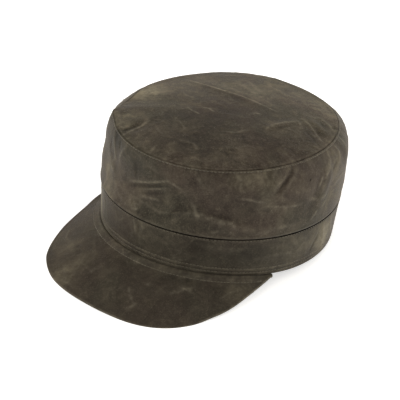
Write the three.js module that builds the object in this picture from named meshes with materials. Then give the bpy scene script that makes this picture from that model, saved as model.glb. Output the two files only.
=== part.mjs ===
// A patrol cap of waxed cotton, at its real size, standing on a flat surface by itself.
//
// Units are millimetres and +Z is up. The peak points to -Y and the wearer's left is +X.
// The origin is on the surface, under the middle of the cap's length and width.
//
// The cap is four sewn pieces: an oval top, a side wall that curves in to the top's seam, a
// band under it and a stiff peak under the front of the band. Each is a wall of even
// thickness, and the head's hollow is open from below.
//
// Every piece is first worked out in the wearer's frame, with the band's hem at about z = 0.
// A turn is the angle round the head in degrees, 0 at the front and 90 at the wearer's left.
// stand() then leans the cap back on to its peak's edge and the back of its hem.

import * as THREE from "three";
import { LoftGeometry } from "three/addons/geometries/LoftGeometry.js";

// ---- driving dimensions -------------------------------------------------------------

const HEAD_GIRTH = 585; // round the outside of the hem
const WIDTH_TO_LENGTH = 0.923; // of the head's oval
const OVAL_POWER = 1.988; // 2 is an ellipse, more is squarer
const FRONT_NARROWING = 0.011; // the oval's front is this share slimmer than its back

const BAND_HEIGHT = 33.8;
const BAND_TALLER_BEHIND = 1.75; // the band's top edge falls this much in front and rises behind
const HEM_ARCH_FRONT = 2.1; // the hem rises this much over the peak
const HEM_ARCH_BACK = 1.35;

const SEAM_HEIGHT_FRONT = 88.7; // from the hem to the seam round the top
const SEAM_HEIGHT_BACK = 89.9;
const SEAM_AHEAD = 1.94; // the top sits this far ahead of the band
const DOME_RISE = 8; // of the top's middle over its seam
const DOME_POWER = 2.4;

const CROWN_WALL = 2.2; // the cloth, its lining and the seam's turned layers between them
const BAND_WALL = 2.6;
const PEAK_WALL = 2.6;
const OVERHANG = 0.9; // of the side wall's lower fold past the band
const TUCK = 2.2; // the peak's inner edge goes this far under the band
const END_STUB = 0.8; // what shows of the peak at its two ends
const PEAK_HALF_TURN = 70.8; // the peak runs this far round each way from the front
const ROUNDING = 0.6; // of turned edges
const GAP = 0.35; // between sewn pieces

const LEAN = 6.9; // how far the cap leans back when it stands, in degrees
const SUNK = 1.0; // how much of the hem and of the peak's edge the surface presses flat
const LOWEST = 10.43; // of the unpressed cap under the hem's middle, once it leans
const MIDDLE = -18.6; // of the leaning cap's length, from the middle of the head

const SECTIONS = 96; // round the head
const PEAK_SECTIONS = 48;

// The side wall's outer surface: how far it stands out past the hem's oval at each share of
// its height, in front, at the sides and behind.
const SIDE_ROWS = [
  { share: 0.0, front: 3.53, side: 3.1, back: 1.68 },
  { share: 0.125, front: 1.45, side: 4.06, back: 3.46 },
  { share: 0.25, front: -0.28, side: 4.16, back: 4.16 },
  { share: 0.375, front: -1.45, side: 3.85, back: 4.39 },
  { share: 0.5, front: -1.83, side: 3.58, back: 4.73 },
  { share: 0.625, front: -1.36, side: 3.49, back: 5.45 },
  { share: 0.75, front: -0.6, side: 2.44, back: 5.55 },
  { share: 0.875, front: -0.24, side: -1.02, back: 3.66 },
  { share: 1.0, front: -0.98, side: -8.35, back: -1.55 },
];

// How far the seam round the top is pulled in, where share is of half a turn from the front:
// down to -1 at the wearer's right and up to 1 at the left.
const SEAM_ROWS = [
  { share: -1.0, pull: 0.9 },
  { share: -0.922, pull: 0.0 },
  { share: -0.611, pull: 0.0 },
  { share: -0.511, pull: 0.1 },
  { share: -0.444, pull: 0.9 },
  { share: -0.367, pull: 3.0 },
  { share: -0.311, pull: 1.7 },
  { share: -0.261, pull: -2.8 },
  { share: -0.2, pull: -0.3 },
  { share: -0.111, pull: 0.0 },
  { share: 0.861, pull: 0.0 },
  { share: 0.956, pull: 1.0 },
  { share: 1.0, pull: 0.9 },
];

// The hem hangs lower at the wearer's left, and the band stands out more at the rear left.
const HEM_SAG = { by: 0.9, turn: 82, width: 26 };
const BAND_SWELL = { by: 1.4, turn: 134, width: 26 };

// The peak's outer edge: how far it reaches out from the hem and how far it drops below it,
// from the front (share 0) to each end (share 1).
const PEAK_ROWS = [
  { share: 0.0, out: 49.33, drop: 28.5 },
  { share: 0.2, out: 49.69, drop: 28.78 },
  { share: 0.4, out: 44.88, drop: 26.94 },
  { share: 0.6, out: 31.39, drop: 19.44 },
  { share: 0.8, out: 15.05, drop: 8.68 },
  { share: 0.93, out: 6.25, drop: 3.38 },
  { share: 1.0, out: 0.0, drop: 0.0 },
];

// How the worn peak's edge differs from that, from the wearer's right end (share -1) to the
// left end (share 1).
const PEAK_TRIM = [
  { share: -1.0, out: 0.0, drop: 0.0 },
  { share: -0.94, out: 1.6, drop: -1.0 },
  { share: -0.88, out: 0.7, drop: -0.8 },
  { share: -0.8, out: -0.8, drop: -0.2 },
  { share: -0.72, out: -1.0, drop: 0.0 },
  { share: -0.62, out: -0.5, drop: 0.0 },
  { share: -0.5, out: -0.1, drop: 0.0 },
  { share: -0.35, out: 0.4, drop: 0.0 },
  { share: -0.15, out: 0.3, drop: 0.0 },
  { share: 0.0, out: 0.0, drop: 0.0 },
  { share: 0.1, out: 0.0, drop: 0.0 },
  { share: 0.2, out: 0.6, drop: 0.0 },
  { share: 0.35, out: 2.0, drop: 0.0 },
  { share: 0.47, out: 0.4, drop: 0.0 },
  { share: 0.6, out: -1.1, drop: -0.6 },
  { share: 0.73, out: -1.1, drop: -0.6 },
  { share: 0.86, out: -1.7, drop: -1.0 },
  { share: 0.94, out: -1.5, drop: -1.2 },
  { share: 0.975, out: -1.5, drop: -1.0 },
  { share: 1.0, out: 0.0, drop: 0.0 },
];

// Folds and dents of the side wall. length and width are half sizes in millimetres, slant is
// the fold's angle up from level as seen from outside, and rise is out (+) or in (-).
const SIDE_FOLDS = [
  { name: "front upper ridge", turn: 4, share: 0.62, length: 17, width: 4.0, slant: 23, rise: 0.8 },
  { name: "front pressed fold", turn: 4, share: 0.48, length: 15, width: 4.5, slant: 22, rise: -1.3 },
  { name: "long ridge low on the left", turn: 40, share: 0.22, length: 24, width: 5.0, slant: -8, rise: 1.1 },
  { name: "hollow over the long ridge", turn: 42, share: 0.42, length: 22, width: 7.0, slant: -8, rise: -0.8 },
  { name: "slanting crease under the seam", turn: 72, share: 0.82, length: 13, width: 4.0, slant: 42, rise: -1.3 },
  { name: "upright ridge at the left", turn: 100, share: 0.6, length: 22, width: 4.5, slant: 64, rise: 1.1 },
  { name: "hollow beside it", turn: 91, share: 0.55, length: 18, width: 5.0, slant: 64, rise: -0.7 },
  { name: "rear left pucker", turn: 124, share: 0.8, length: 14, width: 5.0, slant: 80, rise: 0.8 },
  { name: "front right ridge", turn: -27, share: 0.5, length: 13, width: 4.5, slant: -45, rise: 0.8 },
  { name: "ridge from the seam", turn: -14, share: 0.8, length: 12, width: 4.5, slant: 60, rise: 0.7 },
  { name: "right front bulge", turn: -46, share: 0.34, length: 12, width: 16.0, slant: 90, rise: 1.6 },
  { name: "rear left shoulder", turn: 158, share: 0.88, length: 20, width: 6.0, slant: 0, rise: 2.2 },
  { name: "rear left bulge", turn: 140, share: 0.42, length: 14, width: 12.0, slant: 0, rise: 0.9 },
  { name: "rear left hollow over the band", turn: 134, share: 0.1, length: 15, width: 4.0, slant: 0, rise: -1.6 },
  { name: "right hollow", turn: -95, share: 0.5, length: 24, width: 9.0, slant: 70, rise: -0.9 },
  { name: "back hollow", turn: 172, share: 0.45, length: 28, width: 8.0, slant: -12, rise: -0.9 },
  { name: "rear right ridge", turn: -135, share: 0.5, length: 20, width: 6.0, slant: 66, rise: 0.8 },
];

// Folds of the top, placed by x and y from the middle of the head; rise is up (+) or down (-).
const TOP_FOLDS = [
  { name: "long crease", x: -21, y: 29, length: 44, width: 6, slant: 6, rise: 0.35 },
  { name: "hollow ahead of it", x: -20, y: 16, length: 40, width: 9, slant: 6, rise: -0.3 },
  { name: "left arch", x: 39, y: 20, length: 20, width: 6, slant: 78, rise: 0.7 },
  { name: "rear left fold", x: 54, y: 46, length: 18, width: 6, slant: -10, rise: 0.8 },
  { name: "left rim dent", x: 66, y: 36, length: 12, width: 6, slant: -30, rise: -0.9 },
  { name: "front right dent", x: -30, y: -72, length: 12, width: 6, slant: 78, rise: -1.0 },
  { name: "front hollow", x: 12, y: -52, length: 34, width: 14, slant: 0, rise: -0.6 },
];

// ---- small helpers ------------------------------------------------------------------

const rad = THREE.MathUtils.degToRad;

// A smooth curve through one column of a table that is keyed by its share column. It never
// overshoots the table's own values.
function column(rows, key, share, map = (s) => s) {
  const x = rows.map((r) => map(r.share));
  const y = rows.map((r) => r[key]);
  const n = x.length;
  const step = Array.from({ length: n - 1 }, (_, i) => x[i + 1] - x[i]);
  const rise = step.map((h, i) => (y[i + 1] - y[i]) / h);
  const slope = x.map((_, i) => {
    if (i === 0) return rise[0];
    if (i === n - 1) return rise[n - 2];
    if (rise[i - 1] * rise[i] <= 0) return 0;
    const a = 2 * step[i] + step[i - 1];
    const b = step[i] + 2 * step[i - 1];
    return (a + b) / (a / rise[i - 1] + b / rise[i]);
  });
  const t = map(share);
  const up = x[n - 1] > x[0];
  let i = 0;
  while (i < n - 2 && (up ? t > x[i + 1] : t < x[i + 1])) i += 1;
  const s = (t - x[i]) / step[i];
  return (
    y[i] * (1 + 2 * s) * (1 - s) ** 2 +
    slope[i] * step[i] * s * (1 - s) ** 2 +
    y[i + 1] * s * s * (3 - 2 * s) +
    slope[i + 1] * step[i] * s * s * (s - 1)
  );
}

// A fold's height at a distance along it and across it.
function swell(along, across, fold) {
  const s = Math.sin(rad(fold.slant));
  const c = Math.cos(rad(fold.slant));
  const l = (along * c + across * s) / fold.length;
  const w = (across * c - along * s) / fold.width;
  return fold.rise * Math.exp(-l * l - w * w);
}

const shortWay = (degrees) => ((((degrees + 180) % 360) + 360) % 360) - 180;

// ---- the head's oval ----------------------------------------------------------------

function ovalShape(turn) {
  const a = Math.abs(Math.cos(rad(turn))) ** OVAL_POWER;
  const b = Math.abs(Math.sin(rad(turn)) / WIDTH_TO_LENGTH) ** OVAL_POWER;
  return (a + b) ** (-1 / OVAL_POWER) * (1 - FRONT_NARROWING * Math.cos(rad(turn)));
}

const around = (turn, r, z) =>
  new THREE.Vector3(r * Math.sin(rad(turn)), -r * Math.cos(rad(turn)), z);

const OVAL_SCALE = (() => {
  let girth = 0;
  for (let t = 0; t < 360; t += 1)
    girth += around(t, ovalShape(t), 0).distanceTo(around(t + 1, ovalShape(t + 1), 0));
  return HEAD_GIRTH / girth;
})();

const oval = (turn) => OVAL_SCALE * ovalShape(turn);

// How much of the front, the sides and the back there is at a turn.
function parts(turn) {
  const c = Math.cos(rad(turn));
  return { front: Math.max(c, 0) ** 2, side: 1 - c * c, back: Math.max(-c, 0) ** 2 };
}

const mix = (turn, v) => {
  const p = parts(turn);
  return p.front * v.front + p.side * v.side + p.back * v.back;
};

// A soft change round one turn of the head.
const near = (turn, change) =>
  change.by * Math.exp(-((shortWay(turn - change.turn) / change.width) ** 2));

const hemArch = (turn) => mix(turn, { front: HEM_ARCH_FRONT, side: 0, back: HEM_ARCH_BACK });

const hemHeight = (turn) => hemArch(turn) - near(turn, HEM_SAG);

const bandTop = (turn) =>
  hemArch(turn) + BAND_HEIGHT - BAND_TALLER_BEHIND * Math.cos(rad(turn));

function seamHeight(turn) {
  const y = -oval(turn) * Math.cos(rad(turn));
  return THREE.MathUtils.mapLinear(y, -95, 95, SEAM_HEIGHT_FRONT, SEAM_HEIGHT_BACK);
}

// ---- outer surfaces of the crown ----------------------------------------------------

// One point of a half section of the crown: r out from the head's middle line and z up.
function sideOutline(turn, share) {
  const out = mix(turn, {
    front: column(SIDE_ROWS, "front", share),
    side: column(SIDE_ROWS, "side", share),
    back: column(SIDE_ROWS, "back", share),
  });
  const foot = bandTop(turn);
  const height = seamHeight(turn) - foot;
  let fold = 0;
  for (const f of SIDE_FOLDS)
    fold += swell(rad(shortWay(turn - f.turn)) * oval(turn), (share - f.share) * height, f);
  // folds die out at the two sewn edges
  fold *= Math.min(1, share * 6) * Math.min(1, (1 - share) * 6);
  fold -= column(SEAM_ROWS, "pull", shortWay(turn) / 180) * Math.exp((-(1 - share) * height) / 5);
  return new THREE.Vector2(oval(turn) + out + fold, foot + height * share);
}

function topOutline(turn, share) {
  const edge = sideOutline(turn, 1);
  const r = edge.x * share;
  const p = around(turn, r, 0);
  let fold = 0;
  for (const f of TOP_FOLDS) fold += swell(p.x - f.x, p.y - f.y, f);
  fold *= Math.min(1, (1 - share) * 8);
  const middle = (SEAM_HEIGHT_FRONT + SEAM_HEIGHT_BACK) / 2;
  const z = middle + (edge.y - middle) * share + DOME_RISE * (1 - share ** DOME_POWER) + fold;
  return new THREE.Vector2(r, z);
}

// The outward normal of an outline at one of its points, from the points on each side.
function outward(before, after) {
  const d = after.clone().sub(before).normalize();
  return new THREE.Vector2(d.y, -d.x);
}

// The direction of the cut where the side wall meets the top, halfway between the normals of
// the two, long enough to cross the wall.
function mitre(turn) {
  const seam = sideOutline(turn, 1);
  const side = outward(sideOutline(turn, 0.96), seam);
  const top = outward(seam, topOutline(turn, 0.96));
  const m = side.clone().add(top).normalize();
  return m.multiplyScalar(CROWN_WALL / m.dot(side));
}

// ---- pieces in the wearer's frame ---------------------------------------------------

// Where the crown's upper part is moved forward, by the share of its height.
const ahead = (point, share) => point.setY(point.y - SEAM_AHEAD * share);

const SIDE_OUTER = [0, 0.03, 0.11, 0.2, 0.3, 0.4, 0.5, 0.6, 0.7, 0.79, 0.87, 0.94, 1];
const SIDE_INNER = [1, 0.87, 0.7, 0.5, 0.3, 0];
const TOP_OUTER = [0, 0.12, 0.26, 0.4, 0.54, 0.67, 0.8, 0.91, 1];
const TOP_INNER = [1, 0.8, 0.54, 0.26, 0];

function sideSection(turn) {
  const cut = mitre(turn);
  const foot = sideOutline(turn, 0);
  const outer = SIDE_OUTER.map((s) => {
    const p = sideOutline(turn, s);
    if (s === 0) p.x -= ROUNDING; // the lower edge is a turned fold
    return { p, s };
  });
  const inner = SIDE_INNER.map((s) => {
    const p = sideOutline(turn, s);
    if (s === 1) return { p: p.sub(cut), s };
    if (s === 0) return { p: new THREE.Vector2(foot.x - CROWN_WALL, foot.y), s };
    const n = outward(sideOutline(turn, s - 0.03), sideOutline(turn, s + 0.03));
    return { p: p.addScaledVector(n, -CROWN_WALL), s };
  });
  return [...outer, ...inner].map(({ p, s }) => ahead(around(turn, p.x, p.y), s));
}

function topRings() {
  const turns = Array.from({ length: SECTIONS }, (_, i) => (360 * i) / SECTIONS);
  const ring = (share, under) =>
    turns.map((turn) => {
      const p = topOutline(turn, share);
      if (share === 1) {
        const inwards = topOutline(turn, 0.96).sub(p).normalize();
        p.addScaledVector(inwards, GAP);
        if (under) p.sub(mitre(turn));
      } else if (under) p.y -= CROWN_WALL;
      return ahead(around(turn, p.x, p.y), 1);
    });
  return [
    ...TOP_OUTER.map((s) => ring(s, false)),
    ...TOP_INNER.map((s) => ring(s, true)),
  ];
}

function bandSection(turn) {
  const low = hemHeight(turn);
  const high = bandTop(turn) - GAP;
  const r = oval(turn);
  const upper = sideOutline(turn, 0).x - OVERHANG + near(turn, BAND_SWELL);
  const at = (inset, z) => {
    const share = (z - low) / (high - low);
    return around(turn, r + (upper - r) * share - inset, z);
  };
  return [
    at(ROUNDING, low),
    at(0, low + ROUNDING),
    at(0, low + 0.35 * (high - low)),
    at(0, low + 0.7 * (high - low)),
    at(0, high - ROUNDING),
    at(ROUNDING, high),
    at(BAND_WALL - ROUNDING, high),
    at(BAND_WALL, high - ROUNDING),
    at(BAND_WALL, low + 0.5 * (high - low)),
    at(BAND_WALL, low + ROUNDING),
    at(BAND_WALL - ROUNDING, low),
  ];
}

function peakSection(share) {
  const turn = share * PEAK_HALF_TURN;
  // the edge turns quickly near the ends, so its columns are read along a stretched share
  const stretch = (s) => Math.sqrt(Math.max(1 - s, 0));
  const reach = column(PEAK_ROWS, "out", Math.abs(share), stretch);
  const fall = column(PEAK_ROWS, "drop", Math.abs(share), stretch);
  const r = oval(turn);
  const under = GAP + PEAK_WALL / 2; // from the hem down to the middle of the peak's inner edge
  const root = new THREE.Vector2(r + 0.2, hemHeight(turn) - under);
  const edge = new THREE.Vector2(
    r + END_STUB + reach * (1 - END_STUB / PEAK_ROWS[0].out) + column(PEAK_TRIM, "out", share),
    hemHeight(turn) - under - fall * (1 - under / PEAK_ROWS[0].drop) - column(PEAK_TRIM, "drop", share),
  );
  const along = edge.clone().sub(root);
  const length = along.length();
  along.divideScalar(length);
  const up = new THREE.Vector2(-along.y, along.x);
  const half = PEAK_WALL / 2;
  const soft = Math.min(ROUNDING * 1.6, length / 3);
  const on = (distance, height) =>
    root.clone().addScaledVector(along, distance).addScaledVector(up, height);
  const inner = (height) => new THREE.Vector2(r - TUCK, root.y + height);
  const bend = (height) => new THREE.Vector2(root.x, root.y + height);
  const steps = [0.25, 0.5, 0.75];
  return [
    inner(-half),
    bend(-half),
    ...steps.map((s) => on(s * (length - soft), -half)),
    on(length - soft, -half),
    on(length, -half / 2),
    on(length, half / 2),
    on(length - soft, half),
    ...[...steps].reverse().map((s) => on(s * (length - soft), half)),
    bend(half),
    inner(half),
  ].map((p) => around(turn, p.x, p.y));
}

// ---- the standing cap ---------------------------------------------------------------

function stand(point) {
  const c = Math.cos(rad(LEAN));
  const s = Math.sin(rad(LEAN));
  const y = point.y * c + point.z * s;
  const z = point.z * c - point.y * s + LOWEST - SUNK;
  return new THREE.Vector3(point.x, y - MIDDLE, Math.max(z, 0));
}

const standing = (sections) => sections.map((section) => section.map(stand));

// once round the head and back to the first section, so that each loft closes on itself
const turnsRound = Array.from(
  { length: SECTIONS + 1 },
  (_, i) => (-360 * (i % SECTIONS)) / SECTIONS,
);

// shares from one end of the peak to the other, closer together near the ends
const peakShares = Array.from({ length: PEAK_SECTIONS + 1 }, (_, i) =>
  Math.sin((Math.PI / 2) * (1 - (2 * i) / PEAK_SECTIONS)),
);

const cloth = (color, roughness) =>
  new THREE.MeshStandardMaterial({ color, roughness, metalness: 0 });

function piece(name, sections, options, material) {
  const mesh = new THREE.Mesh(new LoftGeometry(standing(sections), options), material);
  mesh.name = name;
  return mesh;
}

const cap = new THREE.Group();
cap.name = "patrol_cap";

cap.add(
  piece(
    "crown_top",
    topRings().reverse(),
    { closed: true },
    cloth(0x565046, 0.72),
  ),
  piece("crown_side", turnsRound.map(sideSection), { closed: true }, cloth(0x4f4a40, 0.72)),
  piece("band", turnsRound.map(bandSection), { closed: true }, cloth(0x4a453c, 0.74)),
  piece(
    "peak",
    peakShares.map(peakSection),
    { closed: true, capStart: true, capEnd: true },
    cloth(0x443f37, 0.7),
  ),
);

export default cap;
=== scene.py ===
import math

import bpy
import numpy as np
from mathutils import Matrix, Vector


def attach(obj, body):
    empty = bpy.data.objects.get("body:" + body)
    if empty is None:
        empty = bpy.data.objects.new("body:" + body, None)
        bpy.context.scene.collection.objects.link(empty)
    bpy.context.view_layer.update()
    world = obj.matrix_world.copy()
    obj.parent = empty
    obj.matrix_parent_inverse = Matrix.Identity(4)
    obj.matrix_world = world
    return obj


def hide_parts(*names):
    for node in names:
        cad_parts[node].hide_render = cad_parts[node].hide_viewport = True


# A patrol cap of waxed cotton. Lengths below are millimetres unless a name ends in _M.
# Every piece is worked out in the wearer's frame: z = 0 at the band's hem, the peak to -Y and
# the wearer's left to +X. A turn is the angle round the head, 0 in front and 90 at the
# wearer's left. stand() then leans the cap back as it stands.

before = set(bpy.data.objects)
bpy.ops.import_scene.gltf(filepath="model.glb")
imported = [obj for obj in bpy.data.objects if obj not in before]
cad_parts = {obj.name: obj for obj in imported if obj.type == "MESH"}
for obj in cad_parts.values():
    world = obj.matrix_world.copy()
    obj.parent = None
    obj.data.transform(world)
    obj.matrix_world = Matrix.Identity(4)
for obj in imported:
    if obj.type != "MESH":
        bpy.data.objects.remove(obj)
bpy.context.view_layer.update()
COARSE = 1.0  # share of the full mesh's rows while trying things
MM = 0.001

# ---- the cap's dimensions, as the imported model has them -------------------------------

HEAD_GIRTH = 585.0
WIDTH_TO_LENGTH = 0.923
OVAL_POWER = 1.988
FRONT_NARROWING = 0.011
BAND_HEIGHT = 33.8
BAND_TALLER_BEHIND = 1.75
HEM_ARCH_FRONT = 2.1
HEM_ARCH_BACK = 1.35
SEAM_HEIGHT_FRONT = 88.7
SEAM_HEIGHT_BACK = 89.9
SEAM_AHEAD = 1.94
DOME_RISE = 8.0
DOME_POWER = 2.4
CROWN_WALL = 2.2
BAND_WALL = 2.6
PEAK_WALL = 2.6
OVERHANG = 0.9
TUCK = 2.2
END_STUB = 0.8
PEAK_HALF_TURN = 70.8
GAP = 0.35
LEAN = 6.9
SUNK = 1.0
LOWEST = 10.43
MIDDLE = -18.6

SIDE_ROWS = dict(
    share=[0.0, 0.125, 0.25, 0.375, 0.5, 0.625, 0.75, 0.875, 1.0],
    front=[3.53, 1.45, -0.28, -1.45, -1.83, -1.36, -0.6, -0.24, -0.98],
    side=[3.1, 4.06, 4.16, 3.85, 3.58, 3.49, 2.44, -1.02, -8.35],
    back=[1.68, 3.46, 4.16, 4.39, 4.73, 5.45, 5.55, 3.66, -1.55],
)
PEAK_ROWS = dict(
    share=[0.0, 0.2, 0.4, 0.6, 0.8, 0.93, 1.0],
    out=[49.33, 49.69, 44.88, 31.39, 15.05, 6.25, 0.0],
    drop=[28.5, 28.78, 26.94, 19.44, 8.68, 3.38, 0.0],
)

# turn, share, half length, half width, slant, rise
SIDE_FOLDS = [
    (4, 0.62, 17, 4.0, 23, 0.8),
    (4, 0.48, 15, 4.5, 22, -1.3),
    (40, 0.22, 24, 5.0, -8, 1.1),
    (42, 0.42, 22, 7.0, -8, -0.8),
    (72, 0.82, 13, 4.0, 42, -1.3),
    (100, 0.6, 22, 4.5, 64, 1.1),
    (91, 0.55, 18, 5.0, 64, -0.7),
    (124, 0.8, 14, 5.0, 80, 0.8),
    (-27, 0.5, 13, 4.5, -45, 0.8),
    (-14, 0.8, 12, 4.5, 60, 0.7),
    (-46, 0.34, 12, 16.0, 90, 1.6),
    (158, 0.88, 20, 6.0, 0, 2.2),
    (140, 0.42, 14, 12.0, 0, 0.9),
    (134, 0.10, 15, 4.0, 0, -1.6),
    (-95, 0.5, 24, 9.0, 70, -0.9),
    (172, 0.45, 28, 8.0, -12, -0.9),
    (-135, 0.5, 20, 6.0, 66, 0.8),
]

# how far the seam round the top is pulled in, by turn
SEAM_IN = dict(
    turn=[-180, -166, -110, -92, -80, -66, -56, -47, -36, -20, 155, 172, 180],
    mm=[0.9, 0.0, 0.0, 0.1, 0.9, 3.0, 1.7, -2.8, -0.3, 0.0, 0.0, 1.0, 0.9],
)
# the hem hangs lower at the wearer's left
HEM_SAG = 0.9
HEM_SAG_TURN = 82
HEM_SAG_WIDTH = 26
# the band stands out more at the rear left
BAND_SWELL = 1.4
BAND_SWELL_TURN = 134
BAND_SWELL_WIDTH = 26
# how the peak's edge differs from an even one, from the wearer's right (-1) to the left (1)
PEAK_TRIM = dict(
    share=[-1.0, -0.94, -0.88, -0.80, -0.72, -0.62, -0.50, -0.35, -0.15, 0.0, 0.10, 0.20, 0.35, 0.47, 0.60, 0.73, 0.86, 0.94, 0.975, 1.0],
    out=[0.0, 1.6, 0.7, -0.8, -1.0, -0.5, -0.1, 0.4, 0.3, 0.0, 0.0, 0.6, 2.0, 0.4, -1.1, -1.1, -1.7, -1.5, -1.5, 0.0],
    drop=[0.0, -1.0, -0.8, -0.2, 0.0, 0.0, 0.0, 0.0, 0.0, 0.0, 0.0, 0.0, 0.0, 0.0, -0.6, -0.6, -1.0, -1.2, -1.0, 0.0],
)

# x, y, half length, half width, slant, rise
TOP_FOLDS = [
    (-21, 29, 44, 6, 6, 0.35),
    (-20, 16, 40, 9, 6, -0.3),
    (39, 20, 20, 6, 78, 0.7),
    (54, 46, 18, 6, -10, 0.8),
    (66, 36, 12, 6, -30, -0.9),
    (-30, -72, 12, 6, 78, -1.0),
    (12, -52, 34, 14, 0, -0.6),
]

# ---- creases: points along the crease, half width, rise, tone -------------------------
# rise is out (+) or in (-) and tone is paler (+) or darker (-), where 1 is the most. The paler tone on ridges is partly
# paler cracked wax and partly painted highlight; the darker tone in hollows is painted shade.

# by turn and share of the side wall's height
SIDE_CREASES = [
    ([(-7, 0.46), (4, 0.58), (15, 0.73)], 1.2, 0.55, 0.75),
    ([(-8, 0.38), (4, 0.50), (14, 0.63)], 1.6, -0.62, -0.62),
    ([(0, 0.42), (13, 0.58)], 1.0, 0.40, 0.55),
    ([(0, 0.36), (13, 0.51)], 1.2, -0.45, -0.55),
    ([(0, 0.32), (10, 0.37)], 1.1, 0.35, 0.50),
    ([(14, 0.72), (20, 0.66), (24, 0.57)], 1.3, 0.35, 0.40),
    ([(24, 0.31), (31, 0.31), (38, 0.29), (46, 0.24), (54, 0.17)], 2.2, 0.42, 0.42),
    ([(30, 0.26), (40, 0.24), (52, 0.14)], 3.6, 0.22, 0.12),
    ([(33, 0.38), (45, 0.33), (56, 0.26)], 2.2, -0.50, -0.40),
    ([(-4, 0.27), (12, 0.21), (27, 0.32)], 1.3, 0.22, 0.18),
    ([(-3, 0.09), (1, 0.13)], 0.9, 0.35, 0.60),
    ([(1, 0.13), (1, 0.06)], 1.0, -0.50, -0.80),
    ([(-26, 0.92), (-24, 0.78), (-22, 0.63), (-25, 0.50)], 1.5, 0.50, 0.55),
    ([(-12, 0.94), (-14, 0.85), (-17, 0.70), (-17, 0.62)], 1.3, 0.45, 0.50),
    ([(-28, 0.84), (-29, 0.65)], 1.6, -0.60, -0.60),
    ([(-18, 0.98), (-18, 0.80)], 1.3, -0.50, -0.60),
    ([(-32, 0.62), (-30, 0.50), (-27, 0.38)], 1.6, -0.45, -0.45),
    ([(-33, 0.60), (-28, 0.48), (-23, 0.40)], 1.3, 0.50, 0.55),
    ([(-30, 0.30), (-28, 0.16), (-30, 0.04)], 2.0, 0.35, 0.70),
    ([(-20, 0.28), (-14, 0.16), (-5, 0.07)], 1.3, 0.20, 0.14),
    ([(-49, 0.74), (-48, 0.66), (-46, 0.58)], 1.3, 0.45, 0.50),
    ([(-52, 0.72), (-50, 0.60)], 1.6, -0.20, -0.45),
    ([(109, 0.98), (106, 0.90), (103, 0.83), (99, 0.74)], 1.3, 0.60, 0.65),
    ([(104, 0.97), (101, 0.84), (97, 0.62), (94, 0.36)], 2.6, 0.50, 0.35),
    ([(117, 0.98), (117, 0.88), (114, 0.80)], 1.3, 0.40, 0.50),
    ([(127, 0.99), (127, 0.88), (124, 0.72)], 1.4, 0.40, 0.50),
    ([(104, 0.73), (108, 0.78), (114, 0.83)], 1.4, -0.50, -0.50),
    ([(105, 0.50), (112, 0.52), (122, 0.53)], 1.3, 0.35, 0.40),
    ([(89, 0.15), (91, 0.20), (93, 0.26)], 1.0, 0.35, 0.65),
    ([(97, 0.28), (99, 0.34), (101, 0.39)], 1.0, 0.35, 0.60),
    ([(93, 0.58), (95, 0.68), (97, 0.77)], 1.2, 0.45, 0.50),
    ([(79, 0.97), (74, 0.86), (70, 0.77), (66, 0.67)], 1.3, -0.75, -0.80),
    ([(82, 0.96), (77, 0.86), (73, 0.76), (70, 0.67)], 1.4, 0.45, 0.40),
    ([(75, 0.95), (71, 0.86), (66, 0.78)], 1.2, 0.40, 0.35),
    ([(46, 0.97), (49, 0.88), (48, 0.78)], 1.2, 0.40, 0.55),
    ([(52, 0.95), (50, 0.84)], 1.3, -0.30, -0.10),
    ([(50, 0.64), (56, 0.60), (62, 0.56)], 1.0, 0.25, 0.45),
    ([(62, 0.51), (72, 0.46), (82, 0.45)], 1.0, 0.25, 0.45),
    ([(47, 0.28), (52, 0.16)], 1.6, -0.35, -0.40),
    ([(15, 0.53), (21, 0.55), (26, 0.50)], 3.6, -0.45, -0.40),
    ([(26, 0.52), (28, 0.40), (30, 0.28)], 1.8, 0.35, 0.40),
    ([(-4, 0.78), (-4, 0.55)], 1.7, -0.45, -0.45),
    ([(3, 0.80), (7, 0.77), (11, 0.73)], 1.5, -0.35, -0.40),
    ([(27, 0.93), (29, 0.84), (30, 0.75)], 1.6, 0.30, 0.40),
    ([(32, 0.05), (40, 0.12), (47, 0.12)], 1.4, 0.20, 0.20),
    ([(68, 0.97), (66, 0.90)], 1.3, 0.30, 0.45),
    ([(86.6, 0.770), (87.4, 0.772)], 0.75, -0.20, -1.40),
    ([(86, 0.50), (93, 0.42), (99, 0.44)], 1.4, 0.35, 0.35),
    ([(58, 0.09), (68, 0.16), (78, 0.17)], 1.5, 0.30, 0.35),
    # the far side and the back
    ([(-70, 0.90), (-74, 0.74), (-72, 0.60)], 1.4, 0.50, 0.50),
    ([(-84, 0.95), (-88, 0.80), (-94, 0.66)], 1.4, -0.60, -0.60),
    ([(-100, 0.30), (-88, 0.24), (-74, 0.28)], 1.6, 0.60, 0.55),
    ([(-62, 0.20), (-56, 0.32), (-58, 0.45)], 1.5, 0.45, 0.45),
    ([(-120, 0.97), (-118, 0.80), (-122, 0.62), (-119, 0.45)], 1.7, 0.55, 0.50),
    ([(-127, 0.92), (-126, 0.72), (-130, 0.55)], 1.7, -0.55, -0.45),
    ([(-172, 0.20), (-158, 0.26), (-145, 0.20)], 1.7, 0.50, 0.50),
    ([(-158, 0.85), (-152, 0.70), (-154, 0.55)], 1.4, 0.45, 0.45),
    ([(160, 0.60), (172, 0.52), (184, 0.55), (196, 0.48)], 1.6, -0.60, -0.50),
    ([(158, 0.68), (172, 0.61), (186, 0.63), (198, 0.57)], 1.5, 0.50, 0.55),
    ([(186, 0.93), (184, 0.80), (188, 0.70)], 1.3, 0.45, 0.50),
    ([(142, 0.25), (150, 0.33), (160, 0.30)], 1.5, 0.50, 0.50),
    ([(138, 0.90), (141, 0.76), (139, 0.62)], 1.5, 0.45, 0.45),
    ([(168, 0.14), (180, 0.20), (190, 0.15)], 1.4, 0.40, 0.45),
]

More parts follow.
